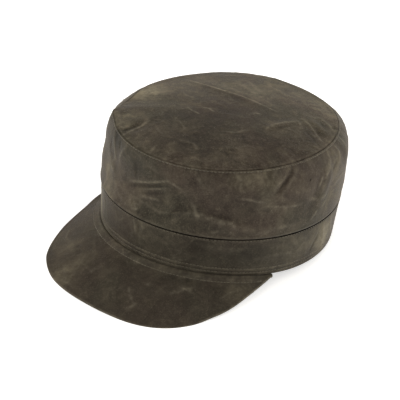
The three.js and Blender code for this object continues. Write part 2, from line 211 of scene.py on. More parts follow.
# by x and y on the top
TOP_CREASES = [
    ([(-66, 25), (-48, 25), (-32, 26), (-16, 29), (-3, 31), (10, 32), (23, 33)], 0.9, 0.12, 0.95),
    ([(-60, 33), (-30, 34), (0, 38), (18, 41)], 4.5, 0.20, 0.30),
    ([(-62, 21), (-32, 21), (-4, 25), (20, 27)], 2.4, -0.10, -0.12),
    ([(-40, 52), (-30, 50), (-16, 45), (-6, 42), (4, 44)], 4.0, 0.40, 0.40),
    ([(-36, 59), (-26, 57), (-8, 49), (4, 53)], 2.6, 0.35, 0.35),
    ([(-17, -11), (-12, -9), (-6, -10)], 0.9, 0.25, 0.95),
    ([(-25, -20), (-18, -22), (-11, -22)], 1.0, 0.25, 0.60),
    ([(13, 14), (18, 18)], 1.1, 0.20, 0.70),
    ([(39, -2), (37, 6), (37, 15), (39, 25), (42, 35), (48, 33)], 1.3, 0.50, 0.60),
    ([(43, 0), (42, 14), (45, 26)], 2.6, -0.40, -0.35),
    ([(40, 42), (48, 41), (60, 36), (71, 31)], 1.3, 0.60, 0.60),
    ([(41, 52), (46, 60), (56, 58), (65, 54)], 1.3, 0.50, 0.55),
    ([(48, 53), (61, 49)], 2.0, -0.55, -0.50),
    ([(52, 32), (64, 27), (74, 24)], 1.8, -0.55, -0.50),
    ([(-34, -84), (-33, -76), (-32, -68)], 1.6, -0.60, -0.60),
    ([(-30, -86), (-30, -76), (-29, -68), (-30, -58)], 1.1, 0.60, 0.70),
    ([(-27, -91), (-26, -83)], 1.5, -0.40, -0.50),
    ([(-8, -92), (0, -93)], 1.5, -0.40, -0.50),
    ([(3, -91), (0, -83)], 1.1, 0.35, 0.45),
    ([(-62, -60), (-54, -67), (-45, -73)], 1.2, 0.35, 0.45),
    ([(-38, -83), (-44, -78), (-50, -73)], 1.6, -0.55, -0.60),
    ([(-14, -42), (-6, -46), (0, -50)], 1.0, 0.20, 0.35),
    ([(-18, -63), (-12, -66), (-6, -67)], 1.0, 0.20, 0.35),
    ([(20, -30), (28, -22), (30, -12)], 1.2, 0.25, 0.35),
    ([(-52, 2), (-40, -4), (-30, -2)], 1.2, 0.25, 0.30),
    ([(8, -64), (18, -60), (26, -64)], 1.2, 0.25, 0.35),
    ([(36, -46), (44, -38), (46, -28)], 1.3, 0.30, 0.35),
    ([(-20, 70), (-4, 66), (14, 70)], 1.6, 0.35, 0.35),
    ([(26, 66), (32, 76)], 1.5, -0.35, -0.35),
    ([(-58, 48), (-50, 58), (-44, 66)], 1.5, 0.35, 0.35),
]

# by turn and share of the band's height
BAND_CREASES = [
    ([(1.4, 0.035), (2.4, 0.035)], 0.8, -0.20, -1.40),
    ([(-1, 0.92), (0, 0.78), (0, 0.62)], 1.0, 0.40, 0.60),
    ([(1.8, 0.92), (2.0, 0.60)], 1.0, -0.40, -0.55),
    ([(4, 0.94), (4, 0.68)], 1.0, 0.30, 0.50),
    # the wide pale strip down the band's left edge is a painted highlight where the light grazes it
    ([(-38, 0.82), (-37, 0.45), (-35, 0.10)], 5.5, 0.10, 1.05),
    ([(103, 0.90), (105, 0.60), (107, 0.15)], 1.3, 0.50, 0.60),
    ([(100, 0.70), (98, 0.50), (95, 0.30)], 1.4, -0.50, -0.50),
    ([(110, 0.94), (114, 0.60), (119, 0.20)], 1.8, 0.50, 0.50),
    ([(86, 0.85), (89, 0.72)], 1.1, 0.30, 0.40),
    ([(30, 0.80), (44, 0.72), (56, 0.74)], 2.2, 0.25, 0.20),
    ([(60, 0.45), (70, 0.52), (80, 0.48)], 1.6, 0.20, 0.25),
    ([(-30, 0.85), (-27, 0.60), (-29, 0.35)], 1.6, 0.35, 0.40),
    ([(-58, 0.80), (-60, 0.45)], 1.5, 0.35, 0.40),
    ([(-96, 0.85), (-93, 0.55), (-97, 0.30)], 1.4, 0.45, 0.50),
    ([(-101, 0.75), (-99, 0.45)], 1.4, -0.45, -0.45),
    ([(-134, 0.80), (-130, 0.50), (-133, 0.30)], 1.5, 0.40, 0.45),
    ([(170, 0.78), (172, 0.50), (169, 0.32)], 1.4, 0.40, 0.45),
    ([(146, 0.82), (148, 0.55)], 1.4, 0.40, 0.40),
]

# by turn and the share of the way out from the band to the peak's edge
PEAK_CREASES = [
    ([(24, 0.40), (27, 0.36), (29, 0.31), (33, 0.28)], 1.6, 0.15, 0.58),
    ([(27, 0.25), (30, 0.30), (33, 0.38)], 1.2, 0.10, 0.34),
    ([(13, 0.84), (14, 0.76), (15, 0.68)], 0.9, 0.15, 0.50),
    ([(9, 0.50), (11, 0.60), (14, 0.70)], 0.9, 0.15, 0.45),
    ([(-14, 0.93), (-12, 0.90), (-10, 0.88)], 1.3, 0.20, 0.60),
    ([(-19, 0.76), (-16, 0.82), (-12, 0.88)], 1.2, 0.20, 0.50),
    ([(-9, 0.62), (-8, 0.52), (-7, 0.42)], 1.4, 0.15, 0.40),
    ([(14, 0.36), (16, 0.34)], 1.2, 0.10, 0.45),
    ([(44, 0.60), (48, 0.50), (52, 0.52)], 1.2, 0.15, 0.40),
    ([(-30, 0.55), (-34, 0.66), (-40, 0.66)], 1.3, 0.20, 0.40),
    ([(-46, 0.40), (-52, 0.46)], 1.2, 0.15, 0.35),
]

# Broad lighter (+) and darker (-) patches: place, radius, amount. The place is
# given as in the crease tables. They are partly thinner and thicker wax and partly painted light: painted highlight
# near edges where the light grazes, such as the top's back and the band's sides, and painted shade in the top's middle.
SIDE_PATCHES = [
    (52, 0.92, 11, 0.36),
    (46, 0.85, 6, 0.22),
    (62, 1.00, 7, 0.32),
    (98, 0.40, 14, 0.10),
    (118, 0.30, 14, 0.28),
    (-38, 0.80, 8, -0.32),
    (-28, 0.62, 7, -0.14),
    (64, 0.80, 11, 0.36),
    (65, 0.26, 7, -0.12),
    (72, 0.38, 10, 0.30),
    (0, 0.40, 8, 0.12),
    (17, 0.98, 7, 0.06),
    (17, 0.40, 6, 0.08),
    (4, 0.70, 7, -0.08),
    (-22, 0.08, 8, 0.48),
    (108, 0.60, 20, 0.05),
    (-5, 0.72, 9, -0.38),
    (-14, 0.18, 9, -0.10),
    (-25, 0.90, 9, -0.68),
    (27, 0.33, 9, -0.60),
    (42, 0.20, 9, -0.30),
    (10, 0.22, 9, -0.14),
    (29, 0.82, 8, -0.33),
    (53, 0.46, 9, -0.38),
    (40, 0.58, 7, -0.12),
    (76, 1.00, 7, 0.14),
    (90, 1.00, 8, 0.14),
    (111, 0.84, 9, 0.16),
    (13, 0.40, 7, 0.14),
    (-29, 0.38, 8, 0.36),
    (-47, 0.30, 9, 0.20),
    (50, 0.28, 7, 0.16),
    (-4, 0.12, 7, 0.12),
    (83, 0.65, 10, 0.12),
]
TOP_PATCHES = [
    (6, 0, 34, -0.38),
    (-12, -34, 20, -0.27),
    (12, -62, 15, -0.52),
    (14, -27, 14, -0.26),
    (60, -20, 12, -0.24),
    (-22, -36, 10, -0.06),
    (9, -86, 9, -0.12),
    (36, -60, 13, -0.36),
    (62, -3, 17, -0.37),
    (-70, -16, 15, 0.70),
    (-48, -70, 14, 0.36),
    (38, 82, 13, 0.46),
    (56, -42, 10, -0.04),
    (-16, -82, 10, 0.12),
    (-6, 58, 16, 0.20),
    (-56, 16, 10, 0.10),
    (-36, 42, 12, 0.10),
    (-36, -53, 9, 0.15),
]
BAND_PATCHES = [
    (31, 0.70, 10, -0.54),
    (48, 0.57, 8, -0.12),
    (58, 0.66, 10, -0.36),
    (84, 0.60, 16, 0.27),
    # the two pale patches at the band's sides are painted highlight where the light grazes them
    (108, 0.50, 14, 0.80),
    (-39, 0.50, 11, 0.80),
    (-26, 0.12, 7, 0.18),
    (-9, 0.12, 7, 0.20),
    (8, 0.14, 7, 0.20),
    (21, 0.12, 6, 0.12),
    (62, 0.25, 10, 0.08),
    (6, 0.64, 12, 0.13),
]
PEAK_PATCHES = [
    (-26, 0.06, 6, 0.22),
    (-10, 0.06, 6, 0.24),
    (4, 0.08, 6, 0.22),
    (18, 0.08, 6, 0.12),
    (-15, 0.50, 9, 0.42),
    (-15, 0.88, 13, 0.52),
    (10, 0.71, 7, 0.17),
    (19, 0.62, 6, 0.15),
    (37, 0.78, 7, 0.07),
    (46, 0.66, 6, 0.05),
    (0, 0.72, 6, -0.06),
    (52, 0.72, 12, 0.29),
    (44, 0.12, 8, 0.02),
    (22, 0.20, 7, -0.12),
    (-5, 0.20, 7, 0.15),
    (-18, 0.20, 6, 0.05),
    (-27, 0.55, 8, 0.19),
    (60, 0.28, 8, -0.07),
    (7, 0.38, 9, -0.14),
    (25, 0.85, 7, -0.10),
]

# ---- small helpers --------------------------------------------------------------------


def curve(x, y):
    """A smooth curve through the points that never overshoots them."""
    x, y = np.array(x, float), np.array(y, float)
    if x[0] > x[-1]:
        x, y = x[::-1], y[::-1]
    step = np.diff(x)
    rise = np.diff(y) / step
    slope = np.zeros_like(x)
    slope[0], slope[-1] = rise[0], rise[-1]
    for i in range(1, len(x) - 1):
        if rise[i - 1] * rise[i] > 0:
            a = 2 * step[i] + step[i - 1]
            b = step[i] + 2 * step[i - 1]
            slope[i] = (a + b) / (a / rise[i - 1] + b / rise[i])

    def at(t):
        t = np.asarray(t, float)
        i = np.clip(np.searchsorted(x, t) - 1, 0, len(x) - 2)
        h = step[i]
        s = (t - x[i]) / h
        return (
            y[i] * (1 + 2 * s) * (1 - s) ** 2
            + slope[i] * h * s * (1 - s) ** 2
            + y[i + 1] * s * s * (3 - 2 * s)
            + slope[i + 1] * h * s * s * (s - 1)
        )

    return at


def ramp(low, high, v):
    t = np.clip((v - low) / (high - low), 0, 1)
    return t * t * (3 - 2 * t)


def bell(v, middle, width):
    return np.exp(-(((v - middle) / width) ** 2))


def unit(v):
    return v / np.maximum(np.linalg.norm(v, axis=-1, keepdims=True), 1e-12)


_dice = np.random.default_rng(20)
_order = _dice.permutation(256)
_slopes = unit(_dice.normal(size=(256, 3)))


def noise(p, size, shift=0.0):
    """Smooth noise from about -1 to 1, with lumps of about this size."""
    q = p / size + np.array([shift, shift * 1.7, shift * 0.6]) + 37.3
    cell = np.floor(q).astype(np.int64)
    f = q - cell
    w = f * f * f * (f * (f * 6 - 15) + 10)
    total = 0.0
    for dx in (0, 1):
        a = _order[(cell[..., 0] + dx) & 255]
        wx = w[..., 0] if dx else 1 - w[..., 0]
        for dy in (0, 1):
            b = _order[(a + cell[..., 1] + dy) & 255]
            wy = w[..., 1] if dy else 1 - w[..., 1]
            for dz in (0, 1):
                c = _order[(b + cell[..., 2] + dz) & 255]
                wz = w[..., 2] if dz else 1 - w[..., 2]
                d = f - np.array([dx, dy, dz])
                total = total + wx * wy * wz * np.sum(_slopes[c] * d, -1)
    return total * 1.75


def warped(p, size, amount, shift):
    return p + amount * np.stack(
        [noise(p, size, shift), noise(p, size, shift + 9), noise(p, size, shift + 18)], -1
    )


def creases(tables, u, v, to_mm, p):
    """Height and tone of a table of creases at points u, v, both in millimetres."""
    height, tone = np.zeros(u.shape), np.zeros(u.shape)
    broken = 0.72 + 0.45 * noise(p, 3.2, 4.0) + 0.25 * noise(p, 1.4, 6.0)
    wander = 0.9 * noise(p, 9.0, 2.0) + 0.4 * noise(p, 4.0, 3.0)
    for points, width, rise, shade in tables:
        q = np.array([to_mm(*k) for k in points])
        lengths = np.linalg.norm(np.diff(q, axis=0), axis=1)
        total = lengths.sum()
        low, high = q.min(0) - 4 * width - 3, q.max(0) + 4 * width + 3
        near = (u > low[0]) & (u < high[0]) & (v > low[1]) & (v < high[1])
        if not near.any():
            continue
        un, vn = u[near], v[near]
        best = np.full(un.shape, 1e9)
        along = np.zeros(un.shape)
        done = 0.0
        for k in range(len(lengths)):
            a, b = q[k], q[k + 1]
            d = (b - a) / max(lengths[k], 1e-9)
            t = np.clip((un - a[0]) * d[0] + (vn - a[1]) * d[1], 0, lengths[k])
            off = np.hypot(un - a[0] - t * d[0], vn - a[1] - t * d[1])
            closer = off < best
            best[closer] = off[closer]
            along[closer] = (done + t)[closer]
            done += lengths[k]
        taper = 0.35 + 0.65 * np.sin(math.pi * np.clip(along / max(total, 1e-9), 0.0, 1.0)) ** 0.6
        off = np.abs(best + 0.0) + 0.25 * width * wander[near]
        shape = np.exp(-((off / width) ** 2)) * taper
        height[near] += rise * shape
        tone[near] += shade * shape * np.clip(broken[near], 0.1, 1.3)
    return height, tone


def crumple(p, shift, strength=1.0):
    """Creased cloth's own fine relief, and how pale its crests are."""
    q = warped(p, 26.0, 7.0, shift)
    a, b, c = noise(q, 21.0, shift + 1), noise(q, 11.5, shift + 2), noise(q, 6.0, shift + 3)
    few = ramp(-0.10, 0.45, noise(p, 31.0, shift + 4))
    some = ramp(-0.15, 0.35, noise(p, 17.0, shift + 5))
    ridge = np.exp(-np.abs(a) / 0.10) * few
    ridge2 = np.exp(-np.abs(b) / 0.12) * some
    height = 0.42 * ridge + 0.24 * ridge2 + 0.10 * c
    height += 0.45 * noise(p, 46.0, shift + 6) + 0.30 * noise(p, 24.0, shift + 7)
    pale = 0.55 * np.exp(-((a / 0.055) ** 2)) * few + 0.42 * np.exp(-((b / 0.075) ** 2)) * some
    pale *= 0.55 + 0.6 * noise(p, 2.6, shift + 8)
    return strength * height, np.clip(pale, 0, 1)


# ---- the head's oval and the crown's outlines -----------------------------------------


def oval_shape(turn):
    t = np.radians(turn)
    a = np.abs(np.cos(t)) ** OVAL_POWER
    b = np.abs(np.sin(t) / WIDTH_TO_LENGTH) ** OVAL_POWER
    return (a + b) ** (-1 / OVAL_POWER) * (1 - FRONT_NARROWING * np.cos(t))


def around(turn, r, z):
    t = np.radians(turn)
    return np.stack(np.broadcast_arrays(r * np.sin(t), -r * np.cos(t), z), -1)


_t = np.arange(361.0)
OVAL_SCALE = HEAD_GIRTH / np.linalg.norm(np.diff(around(_t, oval_shape(_t), 0 * _t), axis=0), axis=1).sum()


def oval(turn):
    return OVAL_SCALE * oval_shape(turn)


def short_way(degrees):
    return (degrees + 180) % 360 - 180


def mix(turn, front, side, back):
    c = np.cos(np.radians(turn))
    return np.maximum(c, 0) ** 2 * front + (1 - c * c) * side + np.maximum(-c, 0) ** 2 * back


def hem_arch(turn):
    return mix(turn, HEM_ARCH_FRONT, 0.0, HEM_ARCH_BACK)


def hem_height(turn):
    return hem_arch(turn) - HEM_SAG * bell(short_way(turn), HEM_SAG_TURN, HEM_SAG_WIDTH)


def band_top(turn):
    return hem_arch(turn) + BAND_HEIGHT - BAND_TALLER_BEHIND * np.cos(np.radians(turn))


def seam_height(turn):
    y = -oval(turn) * np.cos(np.radians(turn))
    return SEAM_HEIGHT_FRONT + (y + 95) / 190 * (SEAM_HEIGHT_BACK - SEAM_HEIGHT_FRONT)


SIDE_FRONT = curve(SIDE_ROWS["share"], SIDE_ROWS["front"])
SIDE_SIDE = curve(SIDE_ROWS["share"], SIDE_ROWS["side"])
SIDE_BACK = curve(SIDE_ROWS["share"], SIDE_ROWS["back"])
SEAM_PULL = curve(SEAM_IN["turn"], SEAM_IN["mm"])


def swell(along, across, length, width, slant, rise):
    s, c = math.sin(math.radians(slant)), math.cos(math.radians(slant))
    l = (along * c + across * s) / length
    w = (across * c - along * s) / width
    return rise * np.exp(-l * l - w * w)


def side_outline(turn, share):
    out = mix(turn, SIDE_FRONT(share), SIDE_SIDE(share), SIDE_BACK(share))
    foot = band_top(turn)
    height = seam_height(turn) - foot
    fold = 0
    for t, s, length, width, slant, rise in SIDE_FOLDS:
        fold = fold + swell(
            np.radians(short_way(turn - t)) * oval(turn), (share - s) * height, length, width, slant, rise
        )
    fold = fold * np.minimum(1, share * 6) * np.minimum(1, (1 - share) * 6)
    fold = fold - SEAM_PULL(short_way(turn)) * np.exp(-(1 - share) * height / 5)
    return oval(turn) + out + fold, foot + height * share


def side_base(turn, share):
    r, z = side_outline(turn, share)
    p = around(turn, r, z)
    p[..., 1] -= SEAM_AHEAD * share
    return p


def top_base(turn, share):
    er, ez = side_outline(turn, np.ones_like(share))
    r = (er - GAP) * share
    p = around(turn, r, 0 * r)
    fold = 0
    for x, y, length, width, slant, rise in TOP_FOLDS:
        fold = fold + swell(p[..., 0] - x, p[..., 1] - y, length, width, slant, rise)
    fold = fold * np.minimum(1, (1 - share) * 8)
    middle = (SEAM_HEIGHT_FRONT + SEAM_HEIGHT_BACK) / 2
    p[..., 2] = middle + (ez - middle) * share + DOME_RISE * (1 - np.abs(share) ** DOME_POWER) + fold
    p[..., 1] -= SEAM_AHEAD
    return p


def band_base(turn, share):
    low, high = hem_height(turn), band_top(turn) - GAP
    r = oval(turn)
    upper = side_outline(turn, np.zeros_like(turn))[0] - OVERHANG
    upper = upper + BAND_SWELL * bell(short_way(turn), BAND_SWELL_TURN, BAND_SWELL_WIDTH)
    return around(turn, r + (upper - r) * share, low + (high - low) * share)


PEAK_OUT = curve(np.sqrt(1 - np.array(PEAK_ROWS["share"])), PEAK_ROWS["out"])
PEAK_DROP = curve(np.sqrt(1 - np.array(PEAK_ROWS["share"])), PEAK_ROWS["drop"])
TRIM_OUT = curve(PEAK_TRIM["share"], PEAK_TRIM["out"])
TRIM_DROP = curve(PEAK_TRIM["share"], PEAK_TRIM["drop"])
UNDER = GAP + PEAK_WALL / 2


def peak_frame(share):
    """Root point, direction out and direction up of the peak's section, in its own plane."""
    turn = share * PEAK_HALF_TURN
    s = np.sqrt(np.maximum(1 - np.abs(share), 0))
    r = oval(turn)
    root = np.stack([r + 0.2, hem_height(turn) - UNDER], -1)
    edge = np.stack(
        [
            r + END_STUB + PEAK_OUT(s) * (1 - END_STUB / PEAK_ROWS["out"][0]) + TRIM_OUT(share),
            hem_height(turn) - UNDER - PEAK_DROP(s) * (1 - UNDER / PEAK_ROWS["drop"][0]) - TRIM_DROP(share),
        ],
        -1,
    )
    along = edge - root
    length = np.linalg.norm(along, axis=-1)
    along = along / length[..., None]
    up = np.stack([-along[..., 1], along[..., 0]], -1)
    return turn, root, along, up, length


def normals(base, turn, share, dt=0.15, ds=0.003):
    a = base(turn + dt, share) - base(turn - dt, share)
    b = base(turn, share + ds) - base(turn, share - ds)
    return unit(np.cross(a, b))


# ---- reliefs ---------------------------------------------------------------------------

AVERAGE_R = 92.0
SIDE_H = 54.0


SEAM_ROW = 1.1  # of stitches, below the seam round the top


def shaded(turn):
    """How much wider the painted shade under the crown's overhang, at the seam over the band, is here than in front."""
    s = short_way(turn)
    return np.maximum(0.65 * ramp(-6, -36, s) * ramp(-90, -56, s), ramp(60, 92, s) * (0.2 + 0.65 * ramp(158, 120, s)))


def side_surface(turn, share):
    """The side wall's outer surface: points, normals, pale and dark."""
    turn, share = np.broadcast_arrays(np.asarray(turn, float), np.asarray(share, float))
    p = side_base(turn, share)
    n = normals(side_base, turn, share)
    height = seam_height(turn) - band_top(turn)
    top, foot = (1 - share) * height, share * height
    soft = ramp(0.0, 8.0, top) * ramp(0.0, 6.0, foot)
    u = np.radians(short_way(turn - 40)) * AVERAGE_R
    v = share * SIDE_H

    def to_mm(t, s):
        return np.radians(short_way(t - 40)) * AVERAGE_R, s * SIDE_H

    h1, tone = creases(SIDE_CREASES, u, v, to_mm, p)
    h2, pale = crumple(p, 0.0)
    # the tables hold the creases of the nearer half, so the even ones are fainter there
    far = ramp(70, 105, np.abs(short_way(turn - 41)))
    pale = pale * (0.12 + 0.88 * far)
    h = (0.85 * h1 + h2 * (0.18 + 0.62 * far)) * soft
    # the cloth gathers a little along both seams
    ring = np.stack([np.sin(np.radians(turn)) * 60, -np.cos(np.radians(turn)) * 60, top / 5], -1)
    gather = noise(ring, 4.2, 3.0) + 0.5 * noise(ring, 2.2, 5.0)
    h = h + 0.42 * gather * np.exp(-top / 6.5) * ramp(0.3, 2.5, top)
    ring[..., 2] = foot / 5 + 40
    gather2 = noise(ring, 4.6, 7.0)
    h = h + 0.26 * gather2 * np.exp(-foot / 6.0) * ramp(0.8, 3.0, foot)
    # the seam with the top, and the row of stitches below it
    h = h - 0.44 * bell(top, 0, 0.24) + 0.06 * bell(top, 2.9, 1.3)
    h = h - 0.10 * bell(top, SEAM_ROW, 0.38)
    h = h + 0.30 * bell(foot, 2.2, 1.4)
    # painted shade in the seam's groove with the top and in the gathers' hollows, painted highlight on the gathers'
    # crests
    dark = np.clip(-tone, 0, 1.4) + (0.45 + 0.9 * np.clip(noise(p, 6.0, 17.0), 0, 1)) * bell(top, 0, 0.20) + 0.28 * np.clip(-gather, 0, 1) * np.exp(-top / 7)
    dark = dark + 0.12 * bell(top, 1.8, 0.35)
    pale = np.clip(tone, 0, 1.3) + 0.62 * pale * soft + 0.24 * np.clip(gather, 0, 1) * np.exp(-top / 7)
    pale = pale + 0.42 * bell(top, 0.62, 0.28) * np.clip(0.75 + 1.1 * noise(p, 3.0, 2.0), 0, 2)
    pale = pale + 0.22 * bell(foot, 1.6, 0.8) * (0.6 + 0.6 * noise(p, 9.0, 3.0))
    return p + n * h[..., None], n, np.clip(pale, 0, 1.3), np.clip(dark, 0, 1.4)


# how far the top's edge puffs up beyond its seam, by turn
TOP_EDGE = curve(
    [-181, -172, -162, -150, -130, -108, -92, -75, -62, -48, -30, 0, 40, 80, 110, 122, 140, 160, 172, 181],
    [-0.8, 0.2, 1.5, 1.6, 1.0, -0.7, -0.5, -0.2, -0.8, 0.1, 0.2, 0.2, 0.2, 0.2, 0.0, -0.4, -0.5, -0.5, -0.8, -0.8],
)


def top_surface(turn, share):
    turn, share = np.broadcast_arrays(np.asarray(turn, float), np.asarray(share, float))
    p = top_base(turn, share)
    r = side_outline(turn, np.ones_like(share))[0]
    edge = (1 - share) * r
    # slope of the dome, taken from steps in x and y
    up = np.zeros_like(p)
    slope = DOME_RISE * DOME_POWER * np.abs(share) ** (DOME_POWER - 1) / r
    t = np.radians(turn)
    up[..., 0], up[..., 1], up[..., 2] = slope * np.sin(t), -slope * np.cos(t), 1
    n = unit(up)
    x, y = p[..., 0], p[..., 1] + SEAM_AHEAD
    h1, tone = creases(TOP_CREASES, x, y, lambda a, b: (a, b), p)
    h2, pale = crumple(p, 20.0)
    soft = ramp(0.0, 8.0, edge)
    h = (0.42 * h1 + 0.30 * h2) * soft
    pale = pale * 0.35
    ring = np.stack([np.sin(t) * 60, -np.cos(t) * 60, 80 + edge / 5], -1)
    gather = noise(ring, 4.2, 3.0) + 0.5 * noise(ring, 2.2, 5.0)
    h = h + 0.32 * gather * np.exp(-edge / 5.5) * ramp(0.3, 2.5, edge)
    h = h - 0.36 * bell(edge, 0, 0.24) + 0.08 * bell(edge, 2.4, 1.5)
    h = h + TOP_EDGE(short_way(turn)) * (1 - np.exp(-edge / 1.6)) * np.exp(-edge / 26.0)
    # painted shade in the seam's groove and in the gathers' hollows, painted highlight on the gathers' crests
    dark = np.clip(-tone, 0, 1.4) + (0.45 + 0.9 * np.clip(noise(p, 6.0, 17.0), 0, 1)) * bell(edge, 0, 0.20) + 0.25 * np.clip(-gather, 0, 1) * np.exp(-edge / 7)
    pale = np.clip(tone, 0, 1.3) + 0.55 * pale * soft + 0.2 * np.clip(gather, 0, 1) * np.exp(-edge / 7)
    pale = pale + 0.16 * bell(edge, 1.6, 0.7)
    return p + n * h[..., None], n, np.clip(pale, 0, 1.3), np.clip(dark, 0, 1.4)


HEM_ROWS = (3.0, 6.4)  # above the hem
TOP_ROW = 1.35  # below the band's top


def band_surface(turn, share):
    turn, share = np.broadcast_arrays(np.asarray(turn, float), np.asarray(share, float))
    p = band_base(turn, share)
    n = normals(band_base, turn, share)
    height = band_top(turn) - GAP - hem_height(turn)
    up, down = share * height, (1 - share) * height

    def to_mm(t, s):
        return np.radians(short_way(t - 40)) * AVERAGE_R, s * BAND_HEIGHT

    u, v = to_mm(turn, share)
    h1, tone = creases(BAND_CREASES, u, v, to_mm, p)
    h2, pale = crumple(p, 40.0)
    soft = ramp(0.0, 8.0, up) * ramp(0.0, 3.0, down)
    h = h1 * soft + 0.42 * h2 * soft
    t = np.radians(turn)
    ring = np.stack([np.sin(t) * 62, -np.cos(t) * 62, up / 4], -1)
    gather = noise(ring, 3.6, 3.0) + 0.5 * noise(ring, 1.9, 5.0)
    h = h + 0.16 * gather * np.exp(-up / 9.0) * ramp(0.4, 2.0, up)
    gather2 = noise(ring + 90, 4.2, 8.0)
    h = h + 0.14 * gather2 * np.exp(-down / 6.0)
    for row in HEM_ROWS:
        h = h - 0.16 * bell(up, row, 0.42)
    h = h + 0.10 * bell(up, 4.7, 1.0) + 0.08 * bell(up, 1.4, 0.9) + 0.10 * bell(up, 8.2, 1.3)
    h = h - 0.14 * bell(down, TOP_ROW, 0.36)
    # the top edge turns in under the crown
    h = h - 1.25 * (1 - np.sqrt(np.maximum(0, 1 - (np.clip(1.25 - down, 0, 1.25) / 1.25) ** 2)))
    # painted shade on the band's top, under the crown's overhang, wider towards the sides
    wide = shaded(turn)
    dark = np.clip(-tone, 0, 1.4) + (1.5 + 1.8 * wide) * bell(down, 0, 0.52 + 1.15 * wide)
    dark = dark + 0.55 * bell(up, 3.45, 0.28) + 0.18 * bell(up, 6.9, 0.30)
    pale = np.clip(tone, 0, 1.3) + 0.42 * pale * soft
    wear = 0.65 + 0.6 * noise(p, 7.0, 3.0)
    # the hem's turned edge is paler, most towards the front left: partly wear and partly a painted highlight where it
    # catches the light
    lit = ramp(80, 20, np.abs(short_way(turn + 25)))
    pale = pale + wear * (0.34 * bell(up, 2.4, 0.45) + 0.40 * bell(up, 5.7, 0.6) + (0.25 + 0.75 * lit) * bell(up, 0.9, 0.55))
    pale = pale + 0.20 * wear * bell(down, 2.1, 0.6)
    return p + n * h[..., None], n, np.clip(pale, 0, 1.3), np.clip(dark, 0, 1.4)


PEAK_ROW = 5.4  # of stitches, out from the band


def peak_surface(share, out, side=1.0):
    """A point of the peak's upper (side 1) or lower (side -1) face; out is millimetres from its root."""
    share, out = np.broadcast_arrays(np.asarray(share, float), np.asarray(out, float))
    turn, root, along, up, length = peak_frame(share)
    q = root + along * out[..., None]
    p = around(turn, q[..., 0], q[..., 1])
    n3 = around(turn, up[..., 0], up[..., 1]) * side

    def to_mm(t, s):
        return t * 1.55, s * 50.0

    part = out / np.maximum(length, 4.0)
    u, v = turn * 1.55, part * 50.0
    h1, tone = creases(PEAK_CREASES, u, v, to_mm, p)
    if side < 0:
        h1, tone = 0 * h1, 0 * tone
    h2, pale = crumple(p, 60.0 if side > 0 else 80.0)
    inside = ramp(0.0, 5.0, out) * ramp(0.0, 4.0, length - out)
    h = h1 * inside + 0.30 * h2 * inside
    # the layers lie flatter round the front right, and the row of stitches fades in the wax
    seen = ramp(-40, 4, turn)
    if side > 0:
        # the turned layers under the cloth lift it beside the band
        h = h + 1.75 * ramp(-1.5, 0.2, out) * ramp(7.5, 1.2, out) * ramp(4, 15, length) * (0.3 + 0.7 * seen)
    h = h - 0.20 * bell(out, PEAK_ROW, 0.45) * ramp(6, 12, length)
    # board under the cloth ends short of the edge, so a soft line runs along it
    from_edge = length - out
    h = h - 0.14 * bell(from_edge, 4.2, 0.9) * ramp(10, 20, length)
    pale = np.clip(tone, 0, 1.3) + 0.35 * pale * inside
    wear = 0.6 + 0.7 * noise(p, 8.0, 12.0)
    broken = 0.35 + 0.9 * np.clip(noise(p, 5.0, 21.0) + 0.35, 0, 1)
    pale = pale + wear * (0.55 * bell(from_edge, 0.2, 0.7) + 0.40 * broken * seen * bell(out, PEAK_ROW + 0.1, 0.6))
    crumbs = 0.34 * np.clip(noise(p, 2.6, 14.0), 0, 1)
    pale = pale + (wear * (0.05 * ramp(7.0, 5.0, out) + 0.26 * bell(out, 1.2, 0.7)) + crumbs * ramp(8.0, 5.0, out)) * ramp(2, 10, length)
    dark = np.clip(-tone, 0, 1.4) + 0.22 * bell(out, PEAK_ROW + 1.0, 0.4)
    half = PEAK_WALL / 2
    if side < 0:
        # the layers thin out towards the peak's two ends
        half = half * (0.1 + 0.9 * ramp(1.0, 0.88, np.abs(share)))
    return p + n3 * (half + h)[..., None], n3, np.clip(pale, 0, 1.3), np.clip(dark, 0, 1.4)


def one(value):
    return np.array([float(value)])


def patches(table, place, p):
    """How much lighter (+) or darker (-) these points are: partly thinner or thicker wax, partly painted highlight and
    painted shade for how the light falls.
    """
    total = 0.12 * noise(p, 38.0, 50.0)
    for a, b, radius, amount in table:
        q = place(one(a), one(b))[0]
        total = total + amount * np.exp(-np.sum((p - q) ** 2, -1) / radius**2)
    return total


def top_place(x, y):
    r = np.hypot(x, y)
    turn = np.degrees(np.arctan2(x, -y))
    return top_base(turn, r / side_outline(turn, one(1))[0])


def peak_place(turn, part):
    share = turn / PEAK_HALF_TURN
    return peak_surface(share, part * peak_frame(share)[4])[0]


# ---- the standing cap -----------------------------------------------------------------


def stand(p):
    c, s = math.cos(math.radians(LEAN)), math.sin(math.radians(LEAN))
    y = p[..., 1] * c + p[..., 2] * s
    z = p[..., 2] * c - p[..., 1] * s + LOWEST - SUNK
    # the surface presses the lowest cloth flat, with a soft turn into it
    z = np.where(z < 0.35, 0.35 * np.exp(np.clip(z - 0.35, -9, 0) / 0.35), z)
    z = np.where(z < 0.02, 0.0, z)
    return np.stack([p[..., 0], y - MIDDLE, z], -1)


def stand_direction(n):
    c, s = math.cos(math.radians(LEAN)), math.sin(math.radians(LEAN))
    return np.stack([n[..., 0], n[..., 1] * c + n[..., 2] * s, n[..., 2] * c - n[..., 1] * s], -1)


# ---- meshes ---------------------------------------------------------------------------


